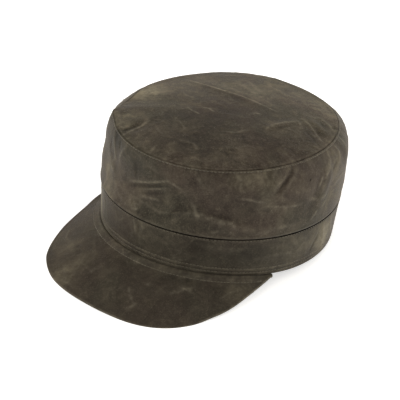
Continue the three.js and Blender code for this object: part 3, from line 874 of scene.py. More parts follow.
def make_mesh(name, points, faces, uv=None, attributes=None):
    """A closed mesh from points in millimetres; faces is a list of integer arrays of one width each."""
    points = stand(points) * MM
    total = 0.0
    for f in faces:
        a = points[f[:, 0]]
        for k in range(1, f.shape[1] - 1):
            total += np.einsum("ij,ij->i", a, np.cross(points[f[:, k]], points[f[:, k + 1]])).sum()
    if total < 0:
        faces = [f[:, ::-1] for f in faces]
        if uv is not None:
            uv = [x[:, ::-1] for x in uv]
    mesh = bpy.data.meshes.new(name)
    corners = np.concatenate([f.ravel() for f in faces]).astype(np.int32)
    sizes = np.concatenate([np.full(len(f), f.shape[1], np.int32) for f in faces])
    starts = np.concatenate([[0], np.cumsum(sizes)[:-1]]).astype(np.int32)
    mesh.vertices.add(len(points))
    mesh.vertices.foreach_set("co", points.astype(np.float32).ravel())
    mesh.loops.add(len(corners))
    mesh.loops.foreach_set("vertex_index", corners)
    mesh.polygons.add(len(sizes))
    mesh.polygons.foreach_set("loop_start", starts)
    mesh.update(calc_edges=True)
    mesh.validate()
    mesh.polygons.foreach_set("use_smooth", np.ones(len(mesh.polygons), bool))
    if uv is not None:
        layer = mesh.uv_layers.new(name="cloth")
        flat = np.concatenate([x.reshape(-1, 2) for x in uv]).astype(np.float32)
        layer.data.foreach_set("uv", flat.ravel())
    for key, values in (attributes or {}).items():
        a = mesh.attributes.new(key, "FLOAT", "POINT")
        a.data.foreach_set("value", np.asarray(values, np.float32).ravel())
    obj = bpy.data.objects.new(name, mesh)
    bpy.context.scene.collection.objects.link(obj)
    return obj


def grid_faces(rows, columns, wrap_rows=True, wrap_columns=True, first=0):
    """Quads of a grid whose point (i, j) has the index first + i * columns + j."""
    i = np.arange(rows if wrap_rows else rows - 1)
    j = np.arange(columns if wrap_columns else columns - 1)
    i, j = np.meshgrid(i, j, indexing="ij")
    i2, j2 = (i + 1) % rows, (j + 1) % columns
    quads = np.stack([i * columns + j, i2 * columns + j, i2 * columns + j2, i * columns + j2], -1)
    return quads.reshape(-1, 4) + first


def grid_uv(u_edges, v, rows, columns, wrap_columns=True):
    """Corner coordinates for grid_faces: u_edges has rows + 1 values, so it doesn't jump at the join."""
    i = np.arange(rows)
    j = np.arange(columns if wrap_columns else columns - 1)
    i, j = np.meshgrid(i, j, indexing="ij")
    j2 = (j + 1) % columns
    a = np.stack([u_edges[i], v[j]], -1)
    b = np.stack([u_edges[i + 1], v[j]], -1)
    c = np.stack([u_edges[i + 1], v[j2]], -1)
    d = np.stack([u_edges[i], v[j2]], -1)
    return np.stack([a, b, c, d], 2).reshape(-1, 4, 2)


def spaced(marks, step):
    """Distances that pass through the marks, with even steps no longer than this."""
    out = [marks[0]]
    for a, b in zip(marks, marks[1:]):
        n = max(1, math.ceil((b - a) / step - 1e-9))
        out += [a + (b - a) * (k + 1) / n for k in range(n)]
    return np.array(out)


TURNS = int(720 * COARSE)


def make_side():
    turn = 360.0 * np.arange(TURNS) / TURNS
    step = 0.64 / COARSE
    foot = spaced([0.0, 0.3], 0.3)
    foot = np.concatenate([foot, spaced([0.3, 2.4], 0.42)[1:], spaced([2.4, 50.6], step)[1:], spaced([50.6, 54.0], 0.24)[1:]])
    share = foot / SIDE_H
    p, n, pale, dark = side_surface(turn[:, None], share[None, :])
    # the lower edge is a turned fold
    mm = share * SIDE_H
    inset = np.where(mm < 0.85, 1.1 * (1 - np.sqrt(np.maximum(0, 1 - ((0.85 - mm) / 0.85) ** 2))), 0)
    flat = unit(p * np.array([1, 1, 0]))
    p = p - flat * inset[None, :, None] * 0.9
    # painted shade in the gap between the turned fold and the band, wider towards the sides
    wide = shaded(turn)[:, None]
    dark = dark + 1.4 * ramp(0.48 + 0.9 * wide, 0.05 + 0.6 * wide, mm[None, :])
    # the inner face follows at the wall's thickness
    inner = np.array([1.0, 0.985, 0.93, 0.85, 0.75, 0.64, 0.52, 0.4, 0.28, 0.16, 0.06, 0.0])
    q = side_base(turn[:, None], inner[None, :])
    m = normals(side_base, turn[:, None] + 0 * inner[None, :], 0 * turn[:, None] + inner[None, :])
    wall = np.full(inner.shape, CROWN_WALL)
    cut = m.copy()
    # along the seam the wall ends in a cut halfway between the side's and the top's directions
    tp = top_base(turn, np.ones(TURNS)) - top_base(turn, np.full(TURNS, 0.96))
    top_n = unit(np.stack([-tp[:, 2] * np.sin(np.radians(turn)), tp[:, 2] * np.cos(np.radians(turn)), np.linalg.norm(tp[:, :2], axis=1)], -1))
    half = unit(m[:, 0] + top_n)
    cut[:, 0] = half / np.sum(half * m[:, 0], -1, keepdims=True)
    q = q - cut * wall[None, :, None]
    wave = 0.22 * noise(q, 16.0, 30.0) * ramp(0, 0.12, inner)[None, :] * ramp(1, 0.88, inner)[None, :]
    q = q + m * wave[..., None]
    q[:, -1] = side_base(turn, np.zeros(TURNS)) - unit(q[:, -1] * np.array([1, 1, 0])) * CROWN_WALL
    points = np.concatenate([p, q], 1)
    pale = np.concatenate([pale, np.clip(0.12 + 0.2 * noise(q, 9.0, 2.0), 0, 1)], 1)
    dark = np.concatenate([dark, np.zeros(q.shape[:2])], 1)
    columns = points.shape[1]
    v = np.concatenate([share * 56, 56 + (1 - inner) * 56 + 3])
    u = np.radians(360.0 * np.arange(TURNS + 1) / TURNS) * AVERAGE_R
    return make_mesh(
        "crown_side_cloth",
        points.reshape(-1, 3),
        [grid_faces(TURNS, columns)],
        [grid_uv(u, v, TURNS, columns)],
        {"pale": pale, "dark": dark, "wax_and_painted_light": patches(SIDE_PATCHES, side_base, points)},
    )


def make_top():
    n = int(236 * COARSE) // 2 * 2
    a = np.linspace(-1, 1, n + 1)
    gx, gy = np.meshgrid(a, a, indexing="ij")
    wide = np.abs(gx) >= np.abs(gy)
    r = np.where(wide, gx, gy)
    with np.errstate(divide="ignore", invalid="ignore"):
        phi = np.where(wide, (math.pi / 4) * gy / gx, math.pi / 2 - (math.pi / 4) * gx / gy)
    phi = np.nan_to_num(phi)
    x, y = r * np.cos(phi), r * np.sin(phi)
    share = np.hypot(x, y)
    turn = np.degrees(np.arctan2(x, -y))
    # ease the radius so that rows gather towards the seam
    edge = 1 - np.clip(share, 0, 1)
    share = 1 - (edge - 0.012 * np.sin(np.clip(edge / 0.10, 0, 1) * math.pi))
    p, nn, pale, dark = top_surface(turn, share)
    index = np.arange((n + 1) ** 2).reshape(n + 1, n + 1)
    quads = np.stack([index[:-1, :-1], index[1:, :-1], index[1:, 1:], index[:-1, 1:]], -1).reshape(-1, 4)
    rim = np.concatenate([index[:-1, 0], index[-1, :-1], index[:0:-1, -1], index[0, :0:-1]])
    flat_p = p.reshape(-1, 3)
    rim_turn = turn.ravel()[rim]
    count = len(rim)
    # under the rim the wall ends in the same cut as the side's, then the under face runs to the middle
    ring_points, ring_pale = [], []
    for s in (1.0, 0.985, 0.94, 0.86, 0.76, 0.64, 0.5, 0.36, 0.22, 0.1, 0.03):
        q = top_base(rim_turn, np.full(count, s))
        if s == 1.0:
            q = q - unit(q * np.array([1, 1, 0])) * 1.25
            q[:, 2] -= 1.9
        else:
            q[:, 2] -= CROWN_WALL
            q[:, 2] += 0.22 * noise(q, 16.0, 31.0) * ramp(1.0, 0.9, s)
        ring_points.append(q)
        ring_pale.append(np.clip(0.12 + 0.2 * noise(q, 9.0, 2.0), 0, 1))
    centre = np.array([[0.0, -SEAM_AHEAD, 0.0]])
    centre[0, 2] = ring_points[-1][:, 2].mean() + 0.002
    points = np.concatenate([flat_p] + ring_points + [centre])
    first = len(flat_p)
    faces, uvs = [quads], []
    xy = np.stack([points[:, 0], points[:, 1]], -1)
    uvs.append(xy[quads])
    previous = rim
    all_quads = []
    for k in range(len(ring_points)):
        now = first + k * count + np.arange(count)
        all_quads.append(np.stack([previous, np.roll(previous, -1), np.roll(now, -1), now], -1))
        previous = now
    under = np.concatenate(all_quads)
    # the same way round as the outer face
    under = under[:, ::-1]
    tip = np.stack([np.full(count, len(points) - 1), np.roll(previous, -1), previous], -1)[:, ::-1]
    faces = [quads, under, tip]
    uvs = [xy[quads], xy[under] + 200.0, xy[tip] + 200.0]
    # make the under face agree with the outer face along the rim
    a0, a1 = int(rim[0]), int(rim[1])
    for q in quads:
        if a0 in q and a1 in q:
            k = int(np.where(q == a0)[0][0])
            outer_runs = int(q[(k + 1) % 4]) == a1
            break
    q = under[np.where((under == a0).any(1) & (under == a1).any(1))[0][0]]
    k = int(np.where(q == a0)[0][0])
    under_runs = int(q[(k + 1) % 4]) == a1
    if outer_runs == under_runs:
        faces = [quads, under[:, ::-1], tip[:, ::-1]]
        uvs = [uvs[0], uvs[1][:, ::-1], uvs[2][:, ::-1]]
    pale = np.concatenate([pale.ravel()] + ring_pale + [[0.1]])
    dark = np.concatenate([dark.ravel(), np.zeros(len(points) - first)])
    # painted shade on the cut under the rim, in the seam's groove
    dark[first : first + count] = 0.8
    return make_mesh("crown_top_cloth", points, faces, uvs, {"pale": pale, "dark": dark, "wax_and_painted_light": patches(TOP_PATCHES, top_place, points)})


def make_band():
    turn = 360.0 * np.arange(TURNS) / TURNS
    height = BAND_HEIGHT - GAP
    step = 0.66 / COARSE
    mm = np.concatenate([spaced([0.9, 7.8], 0.36), spaced([7.8, height - 2.6], step)[1:], spaced([height - 2.6, height - 0.7], 0.32)[1:]])
    share = mm / height
    p, n, pale, dark = band_surface(turn[:, None], share[None, :])

    def edge(share_at, inset, rise):
        q = band_base(turn, np.full(TURNS, share_at))
        out = unit(q * np.array([1, 1, 0]))
        return q - out * inset + np.array([0, 0, rise])

    low = [edge(0, 0.0, 0.5), edge(0, 0.06, 0.22), edge(0, 0.24, 0.04), edge(0, 0.6, 0.0)]
    high = [edge(1, 0.55, -0.42), edge(1, 0.85, -0.2), edge(1, 1.3, 0.0)]
    inner_high = [edge(1, BAND_WALL - 0.5, 0.0), edge(1, BAND_WALL - 0.1, -0.2), edge(1, BAND_WALL, -0.7)]
    middle = [band_base(turn, np.full(TURNS, s)) - unit(band_base(turn, np.full(TURNS, s)) * np.array([1, 1, 0])) * BAND_WALL for s in (0.88, 0.75, 0.6, 0.45, 0.3, 0.16)]
    middle = [q + unit(q * np.array([1, 1, 0])) * (0.18 * noise(q, 15.0, 33.0))[:, None] for q in middle]
    inner_low = [edge(0, BAND_WALL, 0.9), edge(0, BAND_WALL - 0.12, 0.3), edge(0, BAND_WALL - 0.6, 0.0)]
    low_rows = np.stack(low[::-1], 1)
    rest = np.stack(high + inner_high + middle + inner_low, 1)
    points = np.concatenate([low_rows, p, rest], 1)
    # the hem's turned edge is paler, most at the front left: partly wear and partly a painted highlight where the edge
    # catches the light
    lit = 0.25 + 0.75 * ramp(80, 20, np.abs(short_way(turn + 25)))
    wear_and_glint = lit[:, None] * np.array([0.10, 0.40, 0.75, 0.95])
    pale = np.concatenate([wear_and_glint, pale, np.full(rest.shape[:2], 0.12)], 1)
    # painted shade: a little on the hem's rounded edge, full on the band's top edge where it turns in under the crown
    dark = np.concatenate([np.full(low_rows.shape[:2], 0.1), dark, np.full(rest.shape[:2], 0.0)], 1)
    dark[:, 4 + p.shape[1] : 4 + p.shape[1] + 4] = 1.4
    columns = points.shape[1]
    v = np.concatenate([np.linspace(-1, 0.5, 4), mm, height + np.linspace(0, 45, rest.shape[1])])
    u = np.radians(360.0 * np.arange(TURNS + 1) / TURNS) * AVERAGE_R
    return make_mesh(
        "band_cloth",
        points.reshape(-1, 3),
        [grid_faces(TURNS, columns)],
        [grid_uv(u, v, TURNS, columns)],
        {"pale": pale, "dark": dark, "wax_and_painted_light": patches(BAND_PATCHES, band_base, points)},
    )


def make_peak():
    count = int(440 * COARSE)
    shares = np.sin((math.pi / 2) * (1 - 2 * np.arange(count + 1) / count))
    rows = int(66 * COARSE)
    turn, root, along, up, length = peak_frame(shares)
    half = PEAK_WALL / 2
    soft = np.minimum(half, length / 2.5)
    # upper face from the bend out to the edge's roll, finer near the stitches
    f = np.linspace(0, 1, rows)
    f = f - 0.055 * np.sin(2 * math.pi * f) / 1.0 * 0.6
    reach = length - soft
    top = peak_surface(shares[:, None], reach[:, None] * f[None, :], 1.0)
    g = np.linspace(1, 0, max(12, rows // 3))
    low = peak_surface(shares[:, None], reach[:, None] * g[None, :], -1.0)

    def on(distance, height):
        q = root + along * distance[:, None] + up * height[:, None]
        return around(turn, q[:, 0], q[:, 1])

    last_top = np.sum((top[0][:, -1] - on(reach, 0 * reach)) * around(turn, up[:, 0], up[:, 1]), -1)
    last_low = np.sum((low[0][:, 0] - on(reach, 0 * reach)) * around(turn, up[:, 0], up[:, 1]), -1)
    roll = []
    for a in np.linspace(90, -90, 9)[1:-1]:
        c, s = math.cos(math.radians(a)), math.sin(math.radians(a))
        height = np.where(s >= 0, last_top * s, -last_low * s)
        roll.append(on(reach + soft * c, height))
    roll = np.stack(roll, 1)
    r = oval(turn)

    def inner(height):
        return around(turn, r - TUCK, root[:, 1] + height)

    tuck_low = np.stack([inner(np.full(count + 1, -half))], 1)
    tuck_top = np.stack([inner(np.full(count + 1, half))], 1)
    points = np.concatenate([tuck_top, top[0], roll, low[0], tuck_low], 1)
    edge_pale = np.clip(0.34 + 0.4 * noise(roll, 7.0, 12.0), 0, 1)
    z1 = np.zeros(tuck_top.shape[:2])
    pale = np.concatenate([z1, top[2], edge_pale, low[2] * 0.6, z1], 1)
    # painted shade where the peak tucks in under the band
    dark = np.concatenate([z1 + 0.8, top[3], 0 * edge_pale, low[3] * 0.3, z1 + 0.5], 1)
    columns = points.shape[1]
    total = count + 1
    quads = grid_faces(total, columns, wrap_rows=False)
    start = np.arange(columns)[None, ::-1]
    end = (count * columns + np.arange(columns))[None, :]
    lateral = turn * 1.6
    v_rows = np.concatenate([[-3], f * 50, 50 + np.arange(7) * 0.4, 54 + (1 - g) * 50, [108]])
    i, j = np.meshgrid(np.arange(count), np.arange(columns), indexing="ij")
    j2 = (j + 1) % columns
    uv = np.stack(
        [
            np.stack([lateral[i], v_rows[j]], -1),
            np.stack([lateral[i + 1], v_rows[j]], -1),
            np.stack([lateral[i + 1], v_rows[j2]], -1),
            np.stack([lateral[i], v_rows[j2]], -1),
        ],
        2,
    ).reshape(-1, 4, 2)
    cap_uv = np.stack([0 * v_rows, v_rows], -1)
    return make_mesh(
        "peak_cloth",
        points.reshape(-1, 3),
        [quads, start, end],
        [uv, cap_uv[None, ::-1], cap_uv[None]],
        {"pale": pale, "dark": dark, "wax_and_painted_light": patches(PEAK_PATCHES, peak_place, points)},
    )


# ---- stitches -------------------------------------------------------------------------


def make_stitches(name, path, girth, closed=True, pitch=2.8, length=2.05, radius=0.21, seed=1, lift=0.10):
    """Short threads along a path of fractions from 0 to 1, each sunk at both ends."""
    dice = np.random.default_rng(seed)
    count = int(round(girth / pitch))
    base = np.arange(count) / count
    if not closed:
        base = (np.arange(count) + 0.5) / count
    jitter = dice.normal(0, 0.03, (2, count)) * pitch / girth
    long = length * (1 + dice.normal(0, 0.05, count))
    steps = np.array([-0.5, -0.36, -0.14, 0.14, 0.36, 0.5])
    sink = np.array([-0.30, 0.02, 0.16, 0.16, 0.02, -0.30])
    thick = np.array([0.55, 0.95, 1.0, 1.0, 0.95, 0.55])
    s = base[:, None] + jitter[0][:, None] + steps[None, :] * long[:, None] / girth
    p, n = path(s)
    p = p + n * (lift + sink[None, :] * 0.55)[..., None]
    forward = unit(np.gradient(p, axis=1))
    side = unit(np.cross(forward, n))
    up = np.cross(side, forward)
    sides = 6
    angle = 2 * math.pi * np.arange(sides) / sides
    ring = (
        side[:, :, None, :] * np.cos(angle)[None, None, :, None]
        + up[:, :, None, :] * np.sin(angle)[None, None, :, None] * 0.85
    )
    points = p[:, :, None, :] + ring * (radius * thick)[None, :, None, None]
    rings = len(steps)
    per = rings * sides
    faces, caps = [], []
    one = grid_faces(rings, sides, wrap_rows=False)
    quads = (one[None] + per * np.arange(count)[:, None, None]).reshape(-1, 4)
    start = (np.arange(sides)[::-1][None] + per * np.arange(count)[:, None]).reshape(-1, sides)
    end = (np.arange(sides)[None] + (rings - 1) * sides + per * np.arange(count)[:, None]).reshape(-1, sides)
    tone = np.repeat(dice.uniform(0, 1, count), per)
    return make_mesh(name, points.reshape(-1, 3), [quads, start, end], None, {"tone": tone})


def side_path(mm_down):
    def path(s):
        turn = 360.0 * s
        height = seam_height(turn) - band_top(turn)
        p, n, _, _ = side_surface(turn, 1 - mm_down / height)
        return p, n

    return path


def band_path(up=None, down=None):
    def path(s):
        turn = 360.0 * s
        height = band_top(turn) - GAP - hem_height(turn)
        share = up / height if up is not None else 1 - down / height
        p, n, _, _ = band_surface(turn, share)
        return p, n

    return path


def peak_path(out):
    limit = 0.90

    def path(s):
        share = (2 * s - 1) * limit
        length = peak_frame(share)[4]
        p, n, _, _ = peak_surface(share, np.minimum(out, length * 0.62))
        return p, n

    return path


# ---- materials ------------------------------------------------------------------------


def srgb(r, g, b):
    def lin(c):
        c /= 255
        return c / 12.92 if c <= 0.04045 else ((c + 0.055) / 1.055) ** 2.4

    return (lin(r), lin(g), lin(b), 1.0)


class Nodes:
    """A short way to write a node tree."""

    def __init__(self, name):
        self.material = bpy.data.materials.new(name)
        self.material.use_nodes = True
        self.tree = self.material.node_tree
        self.tree.nodes.clear()

    def add(self, kind, **values):
        node = self.tree.nodes.new(kind)
        for key, value in values.items():
            setattr(node, key, value)
        return node

    def link(self, a, b):
        self.tree.links.new(a, b)

    def put(self, socket, value):
        if isinstance(value, bpy.types.NodeSocket):
            self.link(value, socket)
        else:
            socket.default_value = value

    def math(self, kind, a, b=0.0, clamp=False):
        node = self.add("ShaderNodeMath", operation=kind, use_clamp=clamp)
        self.put(node.inputs[0], a)
        self.put(node.inputs[1], b)
        return node.outputs[0]

    def spread(self, value, low, high, to_low=0.0, to_high=1.0, smooth=True):
        node = self.add("ShaderNodeMapRange", interpolation_type="SMOOTHSTEP" if smooth else "LINEAR")
        self.put(node.inputs["Value"], value)
        node.inputs["From Min"].default_value = low
        node.inputs["From Max"].default_value = high
        node.inputs["To Min"].default_value = to_low
        node.inputs["To Max"].default_value = to_high
        return node.outputs["Result"]

    def blend(self, factor, a, b, kind="MIX"):
        node = self.add("ShaderNodeMix", data_type="RGBA", blend_type=kind)
        self.put(node.inputs["Factor"], factor)
        colours = [s for s in node.inputs if s.type == "RGBA"]
        self.put(colours[0], a)
        self.put(colours[1], b)
        return next(s for s in node.outputs if s.type == "RGBA")

    def noise(self, vector, scale, detail=3.0, rough=0.55, distortion=0.0):
        node = self.add("ShaderNodeTexNoise")
        self.put(node.inputs["Vector"], vector)
        node.inputs["Scale"].default_value = scale
        node.inputs["Detail"].default_value = detail
        node.inputs["Roughness"].default_value = rough
        node.inputs["Distortion"].default_value = distortion
        return node.outputs["Fac"]

    def scaled(self, vector, x, y, z, rotation=(0, 0, 0)):
        node = self.add("ShaderNodeMapping")
        self.put(node.inputs["Vector"], vector)
        node.inputs["Rotation"].default_value = rotation
        node.inputs["Scale"].default_value = (x, y, z)
        return node.outputs["Vector"]

    def attribute(self, name):
        return self.add("ShaderNodeAttribute", attribute_name=name, attribute_type="GEOMETRY").outputs["Fac"]


def waxed_cotton(name, light=1.0, gloss=0.0, shine=0.09, sheen=0.06, wear_and_glint=1.0, hue=1.0):
    m = Nodes(name)
    place = m.add("ShaderNodeTexCoord").outputs["Object"]
    cloth = m.add("ShaderNodeUVMap", uv_map="cloth").outputs["UV"]
    pale = m.attribute("pale")
    dark = m.attribute("dark")
    wax_and_painted_light = m.attribute("wax_and_painted_light")

    # every colour is scaled by this piece's light factor, a painted brightness for how the light falls on the piece
    def shade(r, g, b):
        c = srgb(r, g, b)
        return (c[0] * light, c[1] * light, c[2] * light, 1.0)

    # broad brown and green-grey patches, then smaller clouds in the wax
    broad = m.noise(place, 17.0, 3.0, 0.55, 0.6)
    clouds = m.noise(m.scaled(place, 1, 1, 1.15, (0.3, 0.2, 0.5)), 62.0, 4.0, 0.62, 0.8)
    small = m.noise(place, 230.0, 4.0, 0.62, 0.4)
    fine = m.noise(place, 900.0, 3.0, 0.6)
    brown, green = shade(75 + 3 * hue, 68 - hue, 58.5 + 0.6 * hue), shade(75 - 3 * hue, 68 + hue, 58 + 0.6 * hue)
    colour = m.blend(m.spread(broad, 0.36, 0.64), brown, green)
    colour = m.blend(m.spread(clouds, 0.46, 0.72, 0.0, 0.48 * wear_and_glint), colour, shade(111, 102, 87))
    colour = m.blend(m.spread(clouds, 0.50, 0.28, 0.0, 0.50 * wear_and_glint), colour, shade(42, 35, 27))
    colour = m.blend(m.spread(small, 0.50, 0.76, 0.0, 0.22 * wear_and_glint * wear_and_glint), colour, shade(130, 120, 98))
    colour = m.blend(m.spread(small, 0.48, 0.26, 0.0, 0.20 * wear_and_glint * wear_and_glint), colour, shade(36, 30, 23))
    # specks of wax on the threads
    colour = m.blend(m.spread(fine, 0.52, 0.74, 0.0, 0.26 * wear_and_glint), colour, shade(146, 137, 115))
    colour = m.blend(m.spread(fine, 0.48, 0.28, 0.0, 0.28 * wear_and_glint), colour, shade(34, 28, 22))
    # lighter and darker patches from the mesh: partly thinner and thicker wax, partly painted highlight near the edges
    # and painted shade in the top's middle
    mottle = m.math("MULTIPLY", m.spread(clouds, 0.32, 0.66, 0.50, 1.42), m.spread(small, 0.32, 0.68, 0.74, 1.26))
    colour = m.blend(m.math("MULTIPLY", m.math("MAXIMUM", wax_and_painted_light, 0.0), mottle, clamp=True), colour, shade(150, 141, 117))
    colour = m.blend(m.math("MAXIMUM", m.math("MULTIPLY", wax_and_painted_light, -1.0), 0.0), colour, shade(20, 16, 12))
    # thin scratches where the wax has cracked, in three directions
    lines = None
    for k, turn in enumerate(((0.2, 0.5, 0.9), (1.1, 0.1, 2.0), (0.5, 1.3, 3.1))):
        stretched = m.scaled(place, 430.0, 150.0, 260.0, turn)
        wiggle = m.noise(stretched, 1.0, 2.0, 0.5, 1.2)
        line = m.spread(m.math("ABSOLUTE", m.math("SUBTRACT", wiggle, 0.5)), 0.016, 0.0)
        where = m.spread(m.noise(place, 95.0 + 17 * k, 2.0, 0.5), 0.55, 0.72)
        line = m.math("MULTIPLY", line, where)
        lines = line if lines is None else m.math("MAXIMUM", lines, line)
    colour = m.blend(m.math("MULTIPLY", lines, 0.31 * wear_and_glint), colour, shade(160, 150, 128))
    # pale crests: partly paler cracked wax, partly painted highlight
    broken = m.spread(small, 0.30, 0.62, 0.45, 1.15)
    crest = m.math("MULTIPLY", pale, broken, clamp=True)
    colour = m.blend(m.math("MULTIPLY", crest, 0.62), colour, shade(168, 159, 138))
    # painted shade from the dark attribute: seam grooves, under the crown's overhang, fold hollows
    colour = m.blend(m.math("MULTIPLY", dark, 0.80, clamp=True), colour, shade(14, 11, 8))
    # the weave: warp and weft threads about half a millimetre apart
    split = m.add("ShaderNodeSeparateXYZ")
    m.link(cloth, split.inputs[0])
    warp = m.math("SINE", m.math("MULTIPLY", split.outputs[0], 2 * math.pi / 0.52))
    weft = m.math("SINE", m.math("MULTIPLY", split.outputs[1], 2 * math.pi / 0.56))
    weave = m.math("MULTIPLY", warp, weft)
    weave = m.math("ADD", m.math("MULTIPLY", weave, 0.5), 0.5)
    # painted shade in the hollows between the threads
    colour = m.blend(m.spread(weave, 0.0, 1.0, 0.10, 0.0), colour, shade(44, 39, 32))
    rough = m.spread(clouds, 0.3, 0.7, 0.50 - gloss, 0.62 - gloss)
    rough = m.math("ADD", rough, m.math("MULTIPLY", crest, 0.12))
    rough = m.math("ADD", rough, m.math("MULTIPLY", m.math("SUBTRACT", small, 0.5), 0.18))
    # where shade is painted in the seams, they hardly shine either
    rough = m.math("ADD", rough, m.spread(dark, 0.35, 1.2, 0.0, 0.5), clamp=True)
    height = m.math("MULTIPLY", weave, 0.30)
    height = m.math("ADD", height, m.math("MULTIPLY", fine, 0.55))
    height = m.math("ADD", height, m.math("MULTIPLY", small, 1.6))
    height = m.math("ADD", height, m.math("MULTIPLY", lines, 0.5))
    bump = m.add("ShaderNodeBump")
    bump.inputs["Strength"].default_value = 0.75
    bump.inputs["Distance"].default_value = 0.00016
    m.link(height, bump.inputs["Height"])
    shader = m.add("ShaderNodeBsdfPrincipled")
    m.link(colour, shader.inputs["Base Color"])
    m.link(rough, shader.inputs["Roughness"])
    m.link(bump.outputs[0], shader.inputs["Normal"])
    shader.inputs["IOR"].default_value = 1.47
    shader.inputs["Specular IOR Level"].default_value = shine
    shader.inputs["Sheen Weight"].default_value = sheen
    shader.inputs["Sheen Roughness"].default_value = 0.45
    shader.inputs["Sheen Tint"].default_value = (0.92, 0.86, 0.74, 1.0)
    out = m.add("ShaderNodeOutputMaterial")
    m.link(shader.outputs[0], out.inputs[0])
    return m.material


def thread_material(name):
    m = Nodes(name)
    place = m.add("ShaderNodeTexCoord").outputs["Object"]
    tone = m.attribute("tone")
    wave = m.add("ShaderNodeTexWave", wave_type="BANDS", bands_direction="DIAGONAL")
    m.link(place, wave.inputs["Vector"])
    wave.inputs["Scale"].default_value = 900.0
    wave.inputs["Distortion"].default_value = 1.5
    uneven = m.noise(place, 120.0, 3.0, 0.6)
    colour = m.blend(tone, srgb(96, 89, 74), srgb(116, 108, 91))
    colour = m.blend(m.spread(uneven, 0.42, 0.68, 0.0, 0.65), colour, srgb(76, 70, 58))
    colour = m.blend(m.math("MULTIPLY", wave.outputs["Fac"], 0.25), colour, srgb(70, 64, 52))
    bump = m.add("ShaderNodeBump")
    bump.inputs["Strength"].default_value = 0.5
    bump.inputs["Distance"].default_value = 0.00006
    m.link(wave.outputs["Fac"], bump.inputs["Height"])
    shader = m.add("ShaderNodeBsdfPrincipled")
    m.link(colour, shader.inputs["Base Color"])
    m.link(bump.outputs[0], shader.inputs["Normal"])
    shader.inputs["Roughness"].default_value = 0.62
    shader.inputs["Sheen Weight"].default_value = 0.2
    shader.inputs["Sheen Roughness"].default_value = 0.4
    out = m.add("ShaderNodeOutputMaterial")
    m.link(shader.outputs[0], out.inputs[0])
    return m.material


def plain_material(name, colour, rough, lit=0.0):
    m = Nodes(name)
    place = m.add("ShaderNodeTexCoord").outputs["Object"]
    soft = m.noise(place, 3.0, 2.0, 0.5)
    shader = m.add("ShaderNodeBsdfPrincipled")
    c = m.blend(m.spread(soft, 0.3, 0.7, 0.0, 0.25), colour, tuple(0.985 * v for v in colour[:3]) + (1.0,))
    m.link(c, shader.inputs["Base Color"])
    shader.inputs["Roughness"].default_value = rough
    shader.inputs["Specular IOR Level"].default_value = 0.2
    # a light table: the floor is lit softly from below too
    shader.inputs["Emission Color"].default_value = (1.0, 1.0, 1.0, 1.0)
    shader.inputs["Emission Strength"].default_value = lit
    out = m.add("ShaderNodeOutputMaterial")
    m.link(shader.outputs[0], out.inputs[0])
    return m.material


# ---- build ----------------------------------------------------------------------------

# four copies of the one cloth, each made lighter or darker by its light factor: painted light and shade for how the
# lamps fall on each piece
cloth_top = waxed_cotton("waxed_cotton_top", light=0.838, shine=0.04, sheen=0.05, wear_and_glint=1.3, hue=0.75)
cloth_side = waxed_cotton("waxed_cotton_side", light=0.775, hue=0.75)
cloth_band = waxed_cotton("waxed_cotton_band", light=0.668, wear_and_glint=0.85, hue=0.45)
cloth_peak = waxed_cotton("waxed_cotton_peak", light=0.654, gloss=0.03, wear_and_glint=0.8, hue=0.4)
thread = thread_material("sewing_thread")

side_obj = make_side()
top_obj = make_top()
band_obj = make_band()
peak_obj = make_peak()
for obj, node, material in (
    (side_obj, "crown_side", cloth_side),
    (top_obj, "crown_top", cloth_top),
    (band_obj, "band", cloth_band),
    (peak_obj, "peak", cloth_peak),
):
    obj.data.materials.append(material)
    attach(obj, "root")
    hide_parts(node)

rows = [
    make_stitches("stitches_top_seam", side_path(SEAM_ROW), 560.0, seed=3),
    make_stitches("stitches_band_top", band_path(down=TOP_ROW), 590.0, seed=4, lift=0.04),
    make_stitches("stitches_hem_low", band_path(up=HEM_ROWS[0]), 585.0, seed=5),
    make_stitches("stitches_hem_high", band_path(up=HEM_ROWS[1]), 585.0, seed=6),
    make_stitches("stitches_peak", peak_path(PEAK_ROW), 232.0, closed=False, seed=7),
]
for obj in rows:
    obj.data.materials.append(thread)
    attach(obj, "root")

# ---- studio ---------------------------------------------------------------------------

mesh = bpy.data.meshes.new("floor")
S = 9.0
mesh.from_pydata([(-S, -S, 0), (S, -S, 0), (S, S, 0), (-S, S, 0)], [], [(0, 1, 2, 3)])
floor = bpy.data.objects.new("floor", mesh)
bpy.context.scene.collection.objects.link(floor)
floor.data.materials.append(plain_material("pale_floor", (0.90, 0.90, 0.895, 1.0), 0.9, lit=0.60))

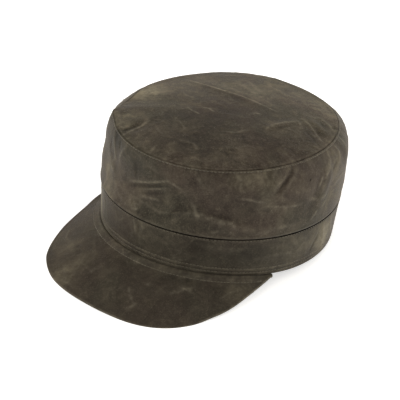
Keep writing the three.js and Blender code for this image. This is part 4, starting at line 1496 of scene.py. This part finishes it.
world = bpy.data.worlds.new("studio")
bpy.context.scene.world = world
world.use_nodes = True
world.node_tree.nodes["Background"].inputs["Color"].default_value = (1.0, 0.972, 0.93, 1.0)
world.node_tree.nodes["Background"].inputs["Strength"].default_value = 0.26

AZIMUTH = math.radians(41.30)
RIGHT = Vector((math.cos(AZIMUTH), math.sin(AZIMUTH), 0))
AWAY = Vector((-math.sin(AZIMUTH), math.cos(AZIMUTH), 0))
UP = Vector((0, 0, 1))
AIM = Vector((0, 0.024, 0.06))


def softbox(name, right, away, up, size, size_y, watts, colour=(1.0, 0.965, 0.905)):
    data = bpy.data.lights.new(name, "AREA")
    data.shape = "RECTANGLE"
    data.size, data.size_y = size, size_y
    data.energy = watts
    data.color = colour
    obj = bpy.data.objects.new(name, data)
    bpy.context.scene.collection.objects.link(obj)
    place = AIM + RIGHT * right + AWAY * away + UP * up
    obj.matrix_world = Matrix.Translation(place) @ (AIM - place).to_track_quat("-Z", "Y").to_matrix().to_4x4()
    return obj


softbox("light_over", 0.0, 0.30, 1.7, 1.4, 1.0, 6.5, (1.0, 0.94, 0.86))
softbox("light_back", 0.15, 1.7, 0.30, 2.2, 0.5, 10.0, (1.0, 0.925, 0.83))
softbox("light_left", -1.5, 0.25, 0.55, 0.9, 0.9, 9.2, (1.0, 0.95, 0.865))
softbox("light_front", -0.2, -1.3, 1.3, 1.2, 0.9, 8.0, (1.0, 0.97, 0.92))
softbox("light_right", 1.5, 0.45, 0.55, 0.9, 0.9, 12.0)

camera_data = bpy.data.cameras.new("camera")
camera_data.sensor_width = 36.0
camera_data.lens = 236.84
camera_data.clip_start = 0.05
camera_data.clip_end = 60.0
camera = bpy.data.objects.new("camera", camera_data)
bpy.context.scene.collection.objects.link(camera)
right = Vector((0.73874, 0.67337, 0.02897))
up = Vector((-0.37839, 0.37878, 0.84460))
back = Vector((0.55775, -0.63490, 0.53461))
basis = Matrix((right, up, back)).transposed().to_4x4()
camera.matrix_world = Matrix.Translation(Vector((1.15493, -1.31599, 1.14438))) @ basis
bpy.context.scene.camera = camera
bpy.context.scene.view_settings.view_transform = "Standard"

# ---- end ------------------------------------------------------------------------------

bpy.context.view_layer.update()
